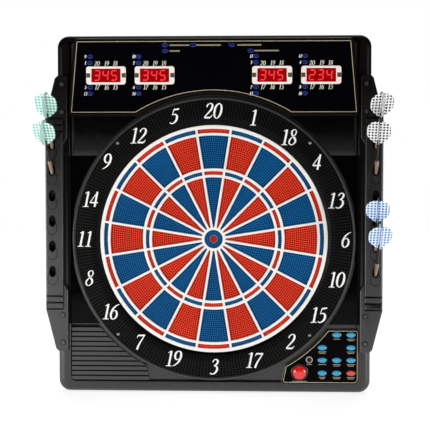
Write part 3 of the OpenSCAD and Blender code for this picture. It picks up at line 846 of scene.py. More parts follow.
def bulls():
    """The outer bull with its ring of dart holes, and the bullseye with a pale rim."""
    low, high = BULL_IN + GAP, BULL_OUT - GAP
    radii = [low + 0.3, (low + high) / 2, high - 0.3]

    def places(u, k):
        return (*polar(radii[k], math.tau * u), FIELD_Z)

    verts, faces, lining, known, marks = drilled([18, 24], places, round_hole, HOLE_DEPTH)
    for k, r, back in ((0, low, FIELD_BACK + 3.7), (2, high, FIELD_BACK + 3)):
        turns = marks[k][:-1]
        rings = [[(*polar(r, math.tau * u), out) for u in turns] for out in (FIELD_Z - 0.3, back)]
        skirted(verts, faces, [known[k, u] for u in turns], rings)
    finish = (SEG_BLUE, SEG_BLUE_HOLE_SHADE)
    obj = piece("outer_bull_drilled", verts, faces, finish, "outer_bull", "segment_blue", 50, lining)
    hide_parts("outer_bull")
    eye = lathe([(0, FIELD_BACK), (8.4, FIELD_BACK), (8.4, FIELD_BACK + 2), (6.1, FIELD_BACK + 2),
                 (6.1, FIELD_Z - 0.3), (5.8, FIELD_Z), (1.1, FIELD_Z), (1.1, FIELD_Z - 4),
                 (0, FIELD_Z - 4)])
    rim_band = lathe([(6.2, FIELD_Z - 6), (6.95, FIELD_Z - 6), (6.95, FIELD_Z - 0.2), (6.8, FIELD_Z),
                      (6.2, FIELD_Z), (6.2, FIELD_Z - 6)])
    # The bullseye's darker red is painted shade.
    obj = piece("bullseye", *eye, EYE_RED_SHADED, "inner_bull", "segment_red")
    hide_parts("inner_bull")
    piece("bullseye_rim", *rim_band, DIVIDER, "inner_bull", "spider_white")


def spider():
    """The white web: a plate with one hole for every field."""
    def edge_point(index, u, r):
        return polar(r, index * STEP + (STEP / 2 - math.asin(SPOKE / 2 / r)) * (2 * u - 1))

    holes = []
    for index in range(len(NUMBERS)):
        for r_in, r_out in FIELDS.values():
            bends = max(3, round(r_out / 20))
            outer = [edge_point(index, k / bends, r_out) for k in range(bends + 1)]
            holes.append(outer + [edge_point(index, 1 - k / bends, r_in) for k in range(bends + 1)])
    outlines = [circle(TARGET_R, count=160), circle(BULL_OUT, count=48)] + holes
    obj = plate("spider_web", outlines, WEB_Z - 12, WEB_Z, WEB, 0.7, 2, "spider_white")
    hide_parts("spider")
    skirt = lathe([(199, 16.5), (202.6, 16.5), (202.6, 24), (197.5, 24), (196.7, 24.2), (196.7, 21.5),
                   (199, 21.5), (199, 16.5)], 96)
    piece("spider_skirt", *skirt, WEB, slot="spider_white")


RING_ROWS, RING_COLUMNS, RING_PARTS = 9, 264, 4
RING_LATTICE = (203.0, 240.4)
RING_FACE = RING_TOP - 2.5
RING_HOLE_DEPTH = 1.8
RING_DIP, RING_DIP_OUT, RING_DIP_WIDTH = 2.2, 212, 14
RING_SCREW_R = 234.5


def ring_height(r):
    """The ring's face, which falls away towards the target."""
    return RING_FACE - RING_DIP * max(0.0, (RING_DIP_OUT - r) / RING_DIP_WIDTH)


def number_ring():
    """The catch ring: a drilled face between an inner lip and an outer bead."""
    low, high = RING_LATTICE
    radii = [low + (high - low) * k / RING_ROWS for k in range(RING_ROWS + 1)]
    rows = [RING_COLUMNS // RING_PARTS] * RING_ROWS
    for part in range(RING_PARTS):
        start = math.tau * part / RING_PARTS

        def places(u, k):
            return (*polar(radii[k], start + math.tau / RING_PARTS * u), ring_height(radii[k]))

        verts, faces, lining, _, _ = drilled(rows, places, oblong_hole, RING_HOLE_DEPTH)
        name = f"ring_lattice_{part + 1}"
        # The holes' walls and floors take near-black: painted shade.
        obj = piece(name, verts, faces, (RING_RIB, RECESS_SHADE), slot="ring_abs", sharp=50, lining=lining)
        if part == 0:
            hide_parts("catch_ring")
    bead = lathe([(high, RING_FACE), (high + 0.5, RING_FACE + 0.5), (high + 1.3, RING_TOP - 0.4),
                  (high + 2.2, RING_TOP), (RING_OUT, RING_TOP - 0.2), (RING_OUT + 0.8, RING_TOP - 1.2),
                  (RING_OUT + 1.4, RING_TOP - 2.6), (RING_OUT + 1.4, DECK_Z + 0.05),
                  (high, DECK_Z + 0.05), (high, RING_FACE)], 180)
    # The bead takes the lighter grey: a painted highlight.
    piece("ring_bead", *bead, BEAD_HIGHLIGHT, slot="ring_abs")
    lip = lathe([(low, ring_height(low)), (low, WEB_Z - 10), (197.6, WEB_Z - 10), (197.6, WEB_Z - 1.6),
                 (198.2, WEB_Z - 1.1), (low, ring_height(low))], 180)
    piece("ring_lip", *lip, TRIM_AND_SHADE, slot="ring_abs")


NUMERAL_R, NUMERAL_H = 223.5, 27.2
# How far right and up each numeral stands from its even place, where it isn't there
NUMERAL_SHIFT = {
    20: (0, -2), 1: (0, -3), 18: (-1, -5), 4: (-2, 2), 13: (-1, -2), 6: (5, 0), 15: (1, 1), 2: (3, 4),
    17: (1, 3), 3: (2, 2), 19: (0, 5), 7: (3, 2), 16: (2, 5), 8: (-2, 1), 9: (-3, 3), 12: (2, -2),
    5: (2, 0),
}


def numerals():
    """The twenty numbers that stand on the ring."""
    solids = []
    for index, number in enumerate(NUMBERS):
        right, above = NUMERAL_SHIFT.get(number, (0, 0))
        x, up = polar(NUMERAL_R, index * STEP)
        solids += number_solids(number, x + right, up + above, NUMERAL_H, RING_FACE - 1.6,
                                RING_FACE + 0.35, 0.88)
    piece("ring_numerals", *merged(solids), NUMERAL, slot="spider_white", sharp=30)


def pan_head(x, up, out, r, height=2.0):
    return lathe([(0, out - 1), (r, out - 1), (r, out + height * 0.35), (r * 0.88, out + height * 0.75),
                  (r * 0.55, out + height * 0.97), (0, out + height)], 28, moved_to(x, up))


def recess_arms(x, up, out, r, height=2.0, width=1.0):
    """The cutters of a cross recess: its level arm and its upright arm."""
    wide, half = r * 0.62, width / 2
    low, high = out + height - height * 0.8, out + height + 2
    level = raised(box_corners(x - wide, x + wide, up - half, up + half), [(0, low), (0, high)])
    upright = raised(box_corners(x - half, x + half, up - wide, up + wide),
                     [(0, low - 0.01), (0, high + 0.01)])
    return level, upright


def screws(name, places, out, material, r):
    """Pan heads with a cross recess."""
    heads = [pan_head(x, up, out, r) for x, up in places]
    obj = piece(name, *merged(heads), material, slot="screw_steel")
    for arms in zip(*(recess_arms(x, up, out, r) for x, up in places)):
        combine(obj, list(arms), "DIFFERENCE")
    return obj


def ring_screws():
    """The ring's four screws, halfway between the axes."""
    places = [polar(RING_SCREW_R, math.radians(45 - 90 * k)) for k in range(4)]
    obj = screws("ring_screw_heads", places, RING_FACE, RING_SCREW, 2.6)
    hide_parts("ring_screws")


# ---- housing ----

def header_outline(low_x, high_x, low, high, r, low_round=1.5, high_round=1.5):
    """The header's outline, anticlockwise: a trapezium with the ring's arc cut out of its bottom."""
    meet = math.degrees(math.asin(low / r))
    corners = [(low_x, low), (high_x, high), (-high_x, high), (-low_x, low)]
    points = rounded([(0, low), *corners], [0, low_round, high_round, high_round, low_round], 4)[1:]
    return points + arc_points(r, 180 - meet, meet, 40)


BODY_CORNER, RIM_ROUND, RIM_SIDE_Z = 20, 11, 26


def rim_ring(d, out):
    """The outer moulding's outline, drawn in by d, at a height."""
    corners = box_corners(BODY_LEFT + d, BODY_RIGHT - d, BODY_LOW + d, BODY_HIGH - d)
    return [(x, up, out) for x, up in rounded(corners, max(BODY_CORNER - d * 0.6, 4), 10)]


def deck_outline(d):
    """The deck's outline, drawn in by d."""
    return rounded(box_corners(-DECK_X + d, DECK_X - d, DECK_LOW + d, DECK_HIGH - d), DECK_CORNER, 10)


def rim():
    """The outer moulding: sides, rounded rim and the step down to the deck."""
    rings = [rim_ring(0.6, 2.6), rim_ring(0, 3.4), rim_ring(0, RIM_SIDE_Z)]
    for k in range(1, 9):
        angle = math.pi / 2 * k / 8
        rings.append(rim_ring(RIM_ROUND * (1 - math.cos(angle)),
                              RIM_SIDE_Z + (RIM_Z - RIM_SIDE_Z) * math.sin(angle)))
    rings.append(rim_ring(13, RIM_Z))
    for d, out in ((-1.6, RIM_Z), (-0.8, RIM_Z - 0.2), (-0.2, RIM_Z - 0.9), (0, RIM_Z - 2), (0, DECK_Z - 4)):
        rings.append([(x, up, out) for x, up in deck_outline(d)])
    obj = piece("housing_rim", *loft(rings, closed=False), BLACK, slot="black_abs", sharp=40)
    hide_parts("front_housing")
    outlines = [deck_outline(2.0), circle(WELL_R - 1.5, count=160)]
    deck = plate("housing_deck", outlines, DECK_Z - 3, DECK_Z, GREY, 0.8, 2, "black_abs")
    combine(deck, key_wells(), "DIFFERENCE")
    outlines = [deck_outline(-1.0), circle(WELL_R + 1, count=160)]
    plate("housing_floor", outlines, DECK_Z - 8, DECK_Z - 5, BLACK, 0, 0, "black_abs")


def header():
    """The raised header block, its gloss overlay and its gold line."""
    block = header_outline(251.5, 240.5, 210.6, 346.2, WELL_R + 1.5, 6, 9)
    steps = [(0, DECK_Z - 1), (0, DECK_Z + 6), (0.8, HEADER_Z - 3.5), (3.4, HEADER_Z - 0.6), (4.6, HEADER_Z)]
    piece("header_block", *raised(block, steps), BLACK, slot="black_abs")
    outlines = [header_outline(246.5, 235.8, 216.0, 340.9, WELL_R + 7)]
    outlines += [display_box(x, 26, 12) for x in DISPLAY_X]
    obj = plate("header_overlay", outlines, HEADER_Z, PANEL_Z, GLOSS, 0.3, 1, "gloss_overlay")
    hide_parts("header_panel")
    line = header_outline(244.6, 234.3, 218.2, 339.7, WELL_R + 8.8)
    piece("header_line", *gold_line(line, PANEL_Z), GOLD, slot="gloss_overlay")


def gold_line(outline, out, width=1.0):
    """A thin raised line that runs round a closed outline."""
    back, front = out - 0.05, out + 0.12
    return band(outline, [(0, back), (0, front), (width, front), (width, back), (0, back)])


SHOULDER_PROFILE = (
    (210.8, 44.5), (204, 44.2), (194, 43.2), (184, 41.9), (174, 40.5), (164, 39.1), (155, 37.9),
    (148.5, 37.0), (146.0, 36.4), (145.0, 35.4), (145.0, DECK_Z - 0.5),
)
SHOULDER_COLUMNS = 8
SHOULDER_X = 240.5


def shoulder(side):
    """One shoulder: a sheet swept down the profile, from the ring out to the rail, and its base."""
    r = WELL_R + 1.5
    width = SHOULDER_COLUMNS + 1
    rows = len(SHOULDER_PROFILE)
    verts = []
    for up, out in SHOULDER_PROFILE:
        inner = math.sqrt(max(r * r - up * up, 0))
        for c in range(width):
            verts.append((side * (inner + (SHOULDER_X - inner) * c / SHOULDER_COLUMNS), up, out))
    faces = []
    for k in range(rows - 1):
        for a in range(k * width, k * width + SHOULDER_COLUMNS):
            faces.append((a, a + 1, a + width + 1, a + width))
    edge = [k * width for k in range(rows)]
    edge += [(rows - 1) * width + c for c in range(1, width)]
    edge += [k * width + SHOULDER_COLUMNS for k in range(rows - 2, -1, -1)]
    edge += range(SHOULDER_COLUMNS - 1, 0, -1)
    base = skirted(verts, faces, edge, [[(*verts[i][:2], DECK_Z - 0.6) for i in edge]])
    faces.append(tuple(base))
    return verts, faces


def shoulders():
    """The two surfaces that roll down from the header to the dark side panels."""
    for side, name in SIDES:
        piece(f"shoulder_{name}", *shoulder(side), SHOULDER, slot="black_abs", sharp=40)
        rail = side_bar(side, 241.6, 244.4, 145.0, 167.0, DECK_Z - 0.5, DECK_Z + 3, 0.8)
        piece(f"shoulder_rail_{name}", *rail, GREY, slot="black_abs")


def side_inlays():
    """The gloss black panels between the ring and the rim on both sides, with dark strips of painted shade
    along the rim and beside the racks.
    """
    r = WELL_R + 0.6
    right, top, low = DECK_X - 0.2, 144.2, -148.0
    start, end = (math.degrees(math.asin(up / r)) for up in (top, low))
    arc = [(x, up) for x, up in arc_points(r, start, end, 30) if x < 243.8]
    for side, name in SIDES:
        outline = [(side * x, up) for x, up in [(right, low), (right, top), *arc]]
        if side > 0:
            outline.reverse()
        inlay = (DECK_Z - 0.2, DECK_Z + 0.5, INLAY, 0.2, 1, "gloss_overlay")
        plate(f"side_inlay_{name}", [outline], *inlay)
        # Dark bars over the rim's inner wall and between rim and rack: painted shade along the seams.
        shade_strips = [side_bar(side, DECK_X - 0.4, 253.2, low, top, DECK_Z - 0.1, RIM_Z + 0.3),
                  side_bar(side, 257.4, RACK_IN - 0.1, -86, 190, RIM_Z - 0.1, RIM_Z + 0.3)]
        piece(f"side_strips_{name}", *merged(shade_strips), TRIM_AND_SHADE, slot="gloss_overlay")


SLATS, SLAT_PITCH, SLAT_H = 11, 8.5, 7.6
GRILLE_TOP = -149.5


def grille():
    """Louvres across the lower left corner, over a near-black sheet that is painted shade in their gaps."""
    low = extent("speaker_grille").low
    feet = [low + 0.3 + k * SLAT_PITCH for k in range(SLATS)]
    # The slats take the lighter grille plastic: painted sheen.
    obj = piece("grille_slats", *merged([louvre(up, up + SLAT_H) for up in feet]), SLAT_SHEEN, slot="black_abs")
    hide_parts("speaker_grille")
    left, foot = -DECK_X + 1.8, low + 0.5
    heights = [foot, -216.5, *(GRILLE_TOP + (low - GRILLE_TOP) * k / 9 for k in range(6, -1, -1))]
    # A near-black sheet under the slats: painted shade in their gaps.
    shade_sheet = [(left, GRILLE_TOP), (left, foot)] + [(grille_right(up) - 1, up) for up in heights]
    plate("grille_shade_sheet", [shade_sheet], DECK_Z - 0.4, DECK_Z + 0.15, RECESS_SHADE, 0, 0, "black_abs")


def grille_right(up):
    """The grille's right edge at a height: the ring's arc or the slanted side."""
    if up < -216:
        return -117.5 + (up + 216) * (-7.0 / 30.7)
    r = WELL_R + 2.0
    return min(-117.5, -math.sqrt(r * r - up * up))


def louvre(up0, up1):
    """One slat: a ridge whose crown is near its lower edge."""
    left = -DECK_X + 1.4
    section = [(up0, -0.4), (up0, 1.8), (up0 + 0.4, 2.8), (up0 + 0.9, 3.2), (up1 - 1.1, 3.1),
               (up1 - 0.3, 2.4), (up1, 1.2), (up1, -0.4)]
    rings = []
    for step in range(7):
        rings.append([(left + (grille_right(up) - 0.6 - left) * step / 6, up, DECK_Z + out)
                      for up, out in section])
    return loft(rings)


def keys_outline(r, left_mid, left_low, top, right, low):
    """The key block's outline, anticlockwise, with the ring's arc on its upper left."""
    start = math.degrees(math.acos(left_mid / r))
    end = math.degrees(math.asin(-top / r))
    arc = arc_points(r, -start, -end, 24)
    corners = [arc[0], (left_low, low), (right, low), (right, top)]
    points = rounded(corners + [arc[-1]], [0, 4, 7, 4, 0], 4)
    return points[1:-1] + list(reversed(arc))


def key_panel():
    """The raised key block, its gloss overlay and its gold line."""
    block = keys_outline(WELL_R + 2.5, 123.2, 115.9, -154.8, 251.4, -250.7)
    steps = [(0, DECK_Z - 1), (0, KEYS_Z - 2), (0.6, KEYS_Z - 0.6), (1.6, KEYS_Z)]
    obj = piece("key_block", *raised(block, steps), BLACK, slot="black_abs")
    combine(obj, key_wells(), "DIFFERENCE")
    outlines = [keys_outline(WELL_R + 4.8, 124.7, 117.7, -156.2, 250.0, -249.5)]
    outlines += [circle((w + 0.8) / 2, x, up, 40, h / w) for x, up, w, h in key_shapes()]
    obj = plate("key_overlay", outlines, KEYS_Z, KEYS_TOP, KEY_FILM, 0.3, 1, "gloss_overlay")
    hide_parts("control_panel")
    line = keys_outline(WELL_R + 6.6, 126.0, 119.5, -157.7, 248.7, -248.1)
    piece("key_line", *gold_line(line, KEYS_TOP, 0.9), GOLD, slot="gloss_overlay")


KEYS = ("key_1b", "key_1c", "key_2a", "key_2c", "key_3a", "key_3b", "key_3c", "key_4a", "key_4b", "key_4c")
KEY_W, KEY_H = 15.7, 9.2
KEY_FOOT = KEYS_Z - 6


def key_shapes():
    """Every key's middle, width and height."""
    shapes = [(*middle_of(name), KEY_W, KEY_H) for name in KEYS]
    return shapes + [(*middle_of("start_button"), 24.0, 24.0), (*middle_of("reset_button"), 8.0, 8.0)]


def oval(x, up, width, height, count=40):
    return circle(width / 2, x, up, count, height / width)


def key_wells():
    """Cutters that leave room for every key's travel."""
    steps = [(0, DECK_Z - 4), (0, KEYS_Z + 1)]
    return [raised(oval(x, up, w + 1.0, h + 1.0), steps) for x, up, w, h in key_shapes()]


def oval_cap(x, up, foot, top):
    """A key: straight oval sides, a rounded shoulder and a slightly domed top."""
    profile = [(1.0, foot), (1.0, top - 1.8), (0.985, top - 1.2), (0.93, top - 0.66), (0.82, top - 0.28),
               (0.6, top - 0.1), (0.3, top - 0.02)]
    return loft([[(px, py, out) for px, py in oval(x, up, share * KEY_W, share * KEY_H)]
                 for share, out in profile])


def key_caps():
    for name in KEYS:
        material, slot = (KEY_RED, "key_red") if name == "key_4c" else (KEY_BLUE, "key_blue")
        cap = oval_cap(*middle_of(name), KEY_FOOT, extent(name).front)
        obj = piece(name + "_cap", *cap, material, name, slot)
        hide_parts(name)


def start_button():
    place = moved_to(*middle_of("start_button"))
    top = extent("start_button").front
    dome = lathe([(12.0, KEY_FOOT), (12.0, KEYS_TOP + 2.2), (11.6, KEYS_TOP + 3.4), (10.4, KEYS_TOP + 4.9),
                  (8.0, KEYS_TOP + 6.2), (5.0, KEYS_TOP + 6.8), (2.0, top - 0.03), (0, top)], 48, place)
    obj = piece("start_dome", *dome, START, "start_button", "start_red")
    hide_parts("start_button")
    collar = [(12.4, -0.2), (14.6, -0.2), (14.5, 0.5), (13.9, 0.9), (12.9, 0.8), (12.4, 0.3), (12.4, -0.2)]
    collar = lathe([(r, KEYS_TOP + out) for r, out in collar], 48, place)
    piece("start_collar", *collar, BLACK, slot="gloss_overlay")


def reset_button():
    place = moved_to(*middle_of("reset_button"))
    pin = lathe([(3.9, KEY_FOOT), (3.9, KEYS_TOP + 0.7), (3.5, KEYS_TOP + 1.2), (1.6, KEYS_TOP + 0.9),
                 (0, KEYS_TOP + 0.7)], 32, place)
    obj = piece("reset_pin", *pin, SHAFT, "reset_button", "reset_metal")
    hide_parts("reset_button")
    ring = [(4.3, -0.2), (5.9, -0.2), (5.8, 0.8), (5.3, 1.3), (4.7, 1.1), (4.3, 0.5), (4.3, -0.2)]
    ring = lathe([(r, KEYS_TOP + out) for r, out in ring], 36, place)
    # The ring's light grey is a painted reflection.
    piece("reset_ring", *ring, CHROME_PAINTED_REFLECTION, slot="reset_metal")


def key_labels():
    """One or two bars under each key, for its words."""
    labels = []
    for name in KEYS:
        x, up = middle_of(name)
        half = 5.5 if name in ("key_1b", "key_4a") else 6.8
        labels.append(print_bar(x, half, up - 8.2, up - 6.8, KEYS_TOP))
        if name not in ("key_1b", "key_3a"):
            labels.append(print_bar(x, half - 1.5, up - 10.6, up - 9.2, KEYS_TOP))
    x, up = middle_of("start_button")
    labels.append(print_bar(x, 13, up - 16.4, up - 15.0, KEYS_TOP))
    x, up = middle_of("reset_button")
    labels.append(print_bar(x, 5, up - 8.8, up - 7.6, KEYS_TOP))
    piece("key_label_bars", *merged(labels), LABEL, slot="gloss_overlay")


# ---- displays ----

READINGS = ("345", "345", "345", "234")
PLAYERS = ((9, 1, 5, 13), (10, 2, 6, 14), (11, 3, 7, 15), (12, 4, 8, 16))
GLASS_Z = PANEL_Z + 0.9
PANEL_PRINT = (PANEL_Z + PRINT_BACK, PANEL_Z + PRINT_FRONT)


def display_box(x, half_width, half_height):
    return box_corners(x - half_width, x + half_width, DISPLAY_Y - half_height, DISPLAY_Y + half_height)


def display_frame(x):
    """One white bezel, open at its back."""
    top = extent("display_bezels").front
    outer = rounded(display_box(x, 34.1, 15.5), 4.5, 6)
    hole = rounded(display_box(x, 25.2, 11.7), 1.2, 6)
    rings = lift(outer, [(0, PANEL_Z), (0, top - 0.8), (0.3, top - 0.2), (1.0, top)])
    rings += lift(hole, [(-0.5, top), (0, top - 0.4), (0, PANEL_Z - 1.5)])
    return loft(rings, closed=False)


def reading_bars(x, reading):
    """The lit bars of one display."""
    solids = []
    for k, character in enumerate(reading):
        left = x - 20.5 + k * 14.6
        solids += seven_segment(character, left, DISPLAY_Y - 8.2, 8.6, 16.4, GLASS_Z - 0.1, GLASS_Z + 0.06)
    return solids


def cricket_numbers(x):
    """The two rows of numbers printed above and below a display."""
    solids = []
    for numbers, up in (((20, 19, 18), 20.5), ((17, 16, 15), -20.0)):
        for number, offset in zip(numbers, (-15.4, 0.8, 15.9)):
            solids += number_solids(number, x + offset, DISPLAY_Y + up, 8.2, *PANEL_PRINT, 0.85)
    return solids


def player_numbers(x, numbers):
    solids = []
    for number, up in zip(numbers, PLAYER_LED_Y):
        solids += number_solids(number, x - 35.5, DISPLAY_Y + up, 5.6, *PANEL_PRINT, 1.3)
    return solids


def display_tab(middle, top):
    steps = [(0, top - 0.5), (0, top + 0.02), (0.3, top + 0.06)]
    return raised(display_box(middle, 3.4, 3.8), steps)


def displays():
    """The four displays, with everything that is printed round them."""
    top = extent("display_bezels").front
    frames = [display_frame(x) for x in DISPLAY_X]
    windows = [raised(display_box(x, 25.1, 11.6), [(0, HEADER_Z - 0.8), (0, GLASS_Z - 0.1), (0.1, GLASS_Z)])
               for x in DISPLAY_X]
    obj = piece("display_frames", *merged(frames), BEZEL, slot="bezel_white")
    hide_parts("display_bezels")
    # The windows carry a painted glow.
    obj = piece("display_windows", *merged(windows), FILTER_GLOW, slot="filter_red")
    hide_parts("display_filters")
    digits, tabs, scores, names = [], [], [], []
    for x, reading, numbers in zip(DISPLAY_X, READINGS, PLAYERS):
        digits += reading_bars(x, reading)
        tabs += [display_tab(x + offset, top) for offset in (-30.4, 30.4)]
        scores += cricket_numbers(x)
        names += player_numbers(x, numbers)
    piece("display_digits", *merged(digits), DIGIT, slot="filter_red")
    piece("display_tabs", *merged(tabs), TAB, slot="bezel_white")
    piece("cricket_numbers", *merged(scores), PRINT, slot="bezel_white")
    piece("player_numbers", *merged(names), NUMERAL, slot="bezel_white")


def oval_ring(x, up, w, h, width=0.8):
    """A flat oval outline printed round an indicator."""
    back, front = PANEL_PRINT
    rings = []
    for d, out in ((0, back), (0, front), (width, front), (width, back), (0, back)):
        rings.append([(px, py, out) for px, py in oval(x, up, w - 2 * d, h - 2 * d, 28)])
    return loft(rings, closed=False)


def indicators():
    """Small lamps in printed ovals: four beside each display and five at the header's top."""
    small = [(x + PLAYER_LED_X, DISPLAY_Y + up) for x in DISPLAY_X for up in PLAYER_LED_Y]
    large = [(x, up) for row, up in zip(TOP_LED_X, TOP_LED_Y) for x in row]
    profile = [(1.75, PANEL_Z - 1), (1.75, PANEL_Z + 0.2), (1.4, PANEL_Z + 0.45), (0, PANEL_Z + 0.58)]
    lenses = [lathe(profile, 20, moved_to(x, up)) for x, up in small + large]
    rims = [oval_ring(x, up, 8.8, 6.8) for x, up in small] + [oval_ring(x, up, 10.4, 6.4) for x, up in large]
    high, low = TOP_LED_Y
    bars = []
    for x0, x1, up in ((-75, -41, high), (-29, 13, high), (41, 82, high), (-75, -57, low), (70, 112, low)):
        bars.append(print_bar((x0 + x1) / 2, (x1 - x0) / 2, up - 1.3, up + 1.3, PANEL_Z))
    obj = piece("indicator_lenses", *merged(lenses), LED, slot="led_blue")
    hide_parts("indicator_leds")
    piece("indicator_rims", *merged(rims), LED_RIM, slot="led_blue")
    piece("indicator_bars", *merged(bars), LABEL, slot="bezel_white")


# ---- racks ----

def rack_base():
    """The rack's long body, with its bevelled ends."""
    lower = [(RACK_IN, RACK_MID - 120), (RACK_END, RACK_MID - 131), (RACK_END, RACK_LOW),
             (RACK_X - 22, RACK_LOW), (RACK_X - 17, RACK_LOW + 5), (RACK_X, RACK_MID - 166)]
    upper = [(x, 2 * RACK_MID - up) for x, up in reversed(lower)]
    return raised(rounded(lower + upper, 3.5, 4), rounded_edge(RIM_Z + 0.4, RACK_Z - 5, 2.2))


def rack_block():
    """The raised block that holds the sockets."""
    corners = box_corners(RACK_IN + 0.9, RACK_X - 2.2, RACK_MID - 165.5, RACK_MID + 165.5)
    steps = [(0, RACK_Z - 6), (0, RACK_Z - 1.4), (0.3, RACK_Z - 0.6), (0.8, RACK_Z - 0.1), (1.4, RACK_Z)]
    return raised(rounded(corners, 3, 4), steps)


def rack_skirt():
    """The rack's side, which reaches back beside the housing."""
    out = RACK_X - 0.2
    corners = [(270, RACK_LOW + 1), (274, RACK_LOW + 5.5), (out, RACK_MID - 166), (out, RACK_MID + 166),
               (274, RACK_HIGH - 5.5), (270, RACK_HIGH - 1)]
    return raised(rounded(corners, 1.0, 2), [(0, 8.2), (0, RIM_Z + 1.5)])


def socket_cutters():
    lean = Matrix.Rotation(-(math.pi / 2 - SOCKET_LEAN), 4, "X")
    profile = [(0, -24), (4.2, -24), (4.2, -1.0), (4.7, 0), (5.3, 0.05), (5.9, 0.7), (5.9, 40), (0, 40)]
    return [lathe(profile, 36, moved_to(SOCKET_X, up, SOCKET_Z) @ lean) for up in SOCKET_UPS]


def groove_cutters():
    """Three short level grooves near each end of the block."""
    grooves = []
    for up in (98.4, 109.7, 121.0):
        for middle in (-up, 2 * RACK_MID + up):
            corners = box_corners(259.5, 300, middle - 1.6, middle + 1.6)
            grooves.append(raised(rounded(corners, 1.5, 3), [(0, RACK_Z - 5.4), (0, RACK_Z + 4)]))
    return grooves


def collar_groove(x, up):
    """The oval line engraved round a socket."""
    steps = ((8.9, -1.2), (8.9, 1), (8.1, 1), (8.1, -1.2), (8.9, -1.2))
    rings = [[(px, py, RACK_Z + out) for px, py in circle(r, x, up, 48, 1.3)] for r, out in steps]
    return loft(rings, closed=False)


def racks():
    """Both racks, made once for the right and mirrored for the left, with their screws."""
    base, block, skirt = rack_base(), rack_block(), rack_skirt()
    cutters = socket_cutters() + groove_cutters()
    collars = [collar_groove(SOCKET_X, up - 1.5) for up in SOCKET_UPS]
    for side, name in reversed(SIDES):
        flip = Matrix.Scale(side, 4, Vector((1, 0, 0)))
        body = piece(f"rack_{name}_body", *moved(base, flip), RACK, slot="rack_abs")
        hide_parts(f"rack_{name}")
        for solid in (block, skirt):
            combine(body, [moved(solid, flip)], "UNION")
        for cuts in (cutters, collars):
            # The cut walls of sockets, grooves and collar lines take near-black: painted shade in the
            # recesses.
            combine(body, [moved(solid, flip) for solid in cuts], "DIFFERENCE", TRIM_AND_SHADE)
    heights = (-132, -179.5, 2 * RACK_MID + 132, 2 * RACK_MID + 179.5)
    places = [(side * SCREW_X, up) for side in (-1, 1) for up in heights]
    screws("rack_screws", places, RACK_Z - 5, SCREW, 3.4)
    washer = [(3.5, -5.2), (4.9, -5.2), (4.9, -4.7), (3.5, -4.7), (3.5, -5.2)]
    washer = [(r, RACK_Z + out) for r, out in washer]
    washers = merged([lathe(washer, 24, moved_to(x, up)) for x, up in places])
    piece("rack_washers", *washers, TRIM_AND_SHADE, slot="rack_abs")


# ---- darts ----

TIP_LEN, BARREL_LEN, SHAFT_LEN, FLIGHT_LEN, FLIGHT_W = 22.0, 34.0, 42.0, 45.0, 39.4
WING_HALF = 0.22


def dart_frame(node, axis):
    """A wall-frame matrix whose z runs along the dart and whose origin is the barrel's front."""
    tip = min((v.co for v in nodes[node].data.vertices), key=lambda point: point.dot(axis))
    start = tip + axis * TIP_LEN * MM
    along = Vector((axis.x, axis.z, -axis.y)).normalized()
    side = along.cross(Vector((0, 0, 1))).normalized()
    across = along.cross(side).normalized()
    turn = Matrix((side, across, along)).transposed().to_4x4()
    return moved_to(start.x / MM, start.z / MM, -start.y / MM) @ turn


def flight_outline():
    """Half of a flight: (distance from the shaft, distance along it)."""
    start = BARREL_LEN + SHAFT_LEN - 8
    end = start + FLIGHT_LEN
    half = FLIGHT_W / 2
    return [(1.2, start), (3.2, start + 0.3), (half * 0.60, start + 7.5), (half * 0.86, start + 12.5),
            (half * 0.97, start + 18), (half, start + 23), (half, end - 15), (half - 0.8, end - 10.5),
            (half - 2.8, end - 6.6), (half - 6.0, end - 3.4), (half - 10, end - 1.3),
            (half - 14, end - 0.3), (1.2, end)]


def flight(matrix, turned, name, node, material, slot):
    """Four thin wings with UVs in millimetres for the printed dots."""
    outline = flight_outline()
    count = len(outline)
    verts, faces, uvs = [], [], []
    for wing in range(4):
        turn = Matrix.Rotation(math.radians(turned + 90 * wing), 4, "Z")
        base = len(verts)
        for level in (-WING_HALF, WING_HALF):
            for r, along in outline:
                verts.append(tuple(matrix @ turn @ Vector((r, level, along))))
                uvs.append((r + 7.3 * wing, along))
        one, two = range(base, base + count), range(base + count, base + 2 * count)
        faces += [tuple(reversed(one)), tuple(two), *walls(one, two)]
    mesh = new_mesh(name, verts, faces)
    layer = mesh.uv_layers.new(name="dots")
    for loop in mesh.loops:
        layer.data[loop.index].uv = uvs[loop.vertex_index]
    return finish_mesh(name, mesh, material, node, slot, 30)


def barrel_profile():
    profile = [(2.3, 0), (2.8, 1.0)]
    for k in range(8):
        start, r = 3 + 2.8 * k, 3.05 + 0.1 * k
        profile += [(r, start), (r, start + 1.7), (r - 0.4, start + 2.1), (r - 0.4, start + 2.6)]
    return profile + [(3.85, 26), (3.85, BARREL_LEN - 1), (3.1, BARREL_LEN)]


def shaft_profile():
    bends = [(2.5, 0), (2.5, 3), (1.9, 4), (2.1, 14), (1.8, 20), (2.3, 25), (2.1, SHAFT_LEN), (0, SHAFT_LEN)]
    return [(r, BARREL_LEN + along) for r, along in bends]


# Each dart's finish, slot and how far its wings are turned, in degrees
FLIGHTS = {
    "dart_left_1": (MINT, "dart_mint", -8), "dart_left_2": (MINT, "dart_mint", -10),
    "dart_right_1": (WHITE_DOTS, "dart_white", 12), "dart_right_2": (WHITE_DOTS, "dart_white", -4),
    "dart_right_5": (BLUE_DOTS, "dart_blue", -5), "dart_right_6": (BLUE_DOTS, "dart_blue", 6),
}


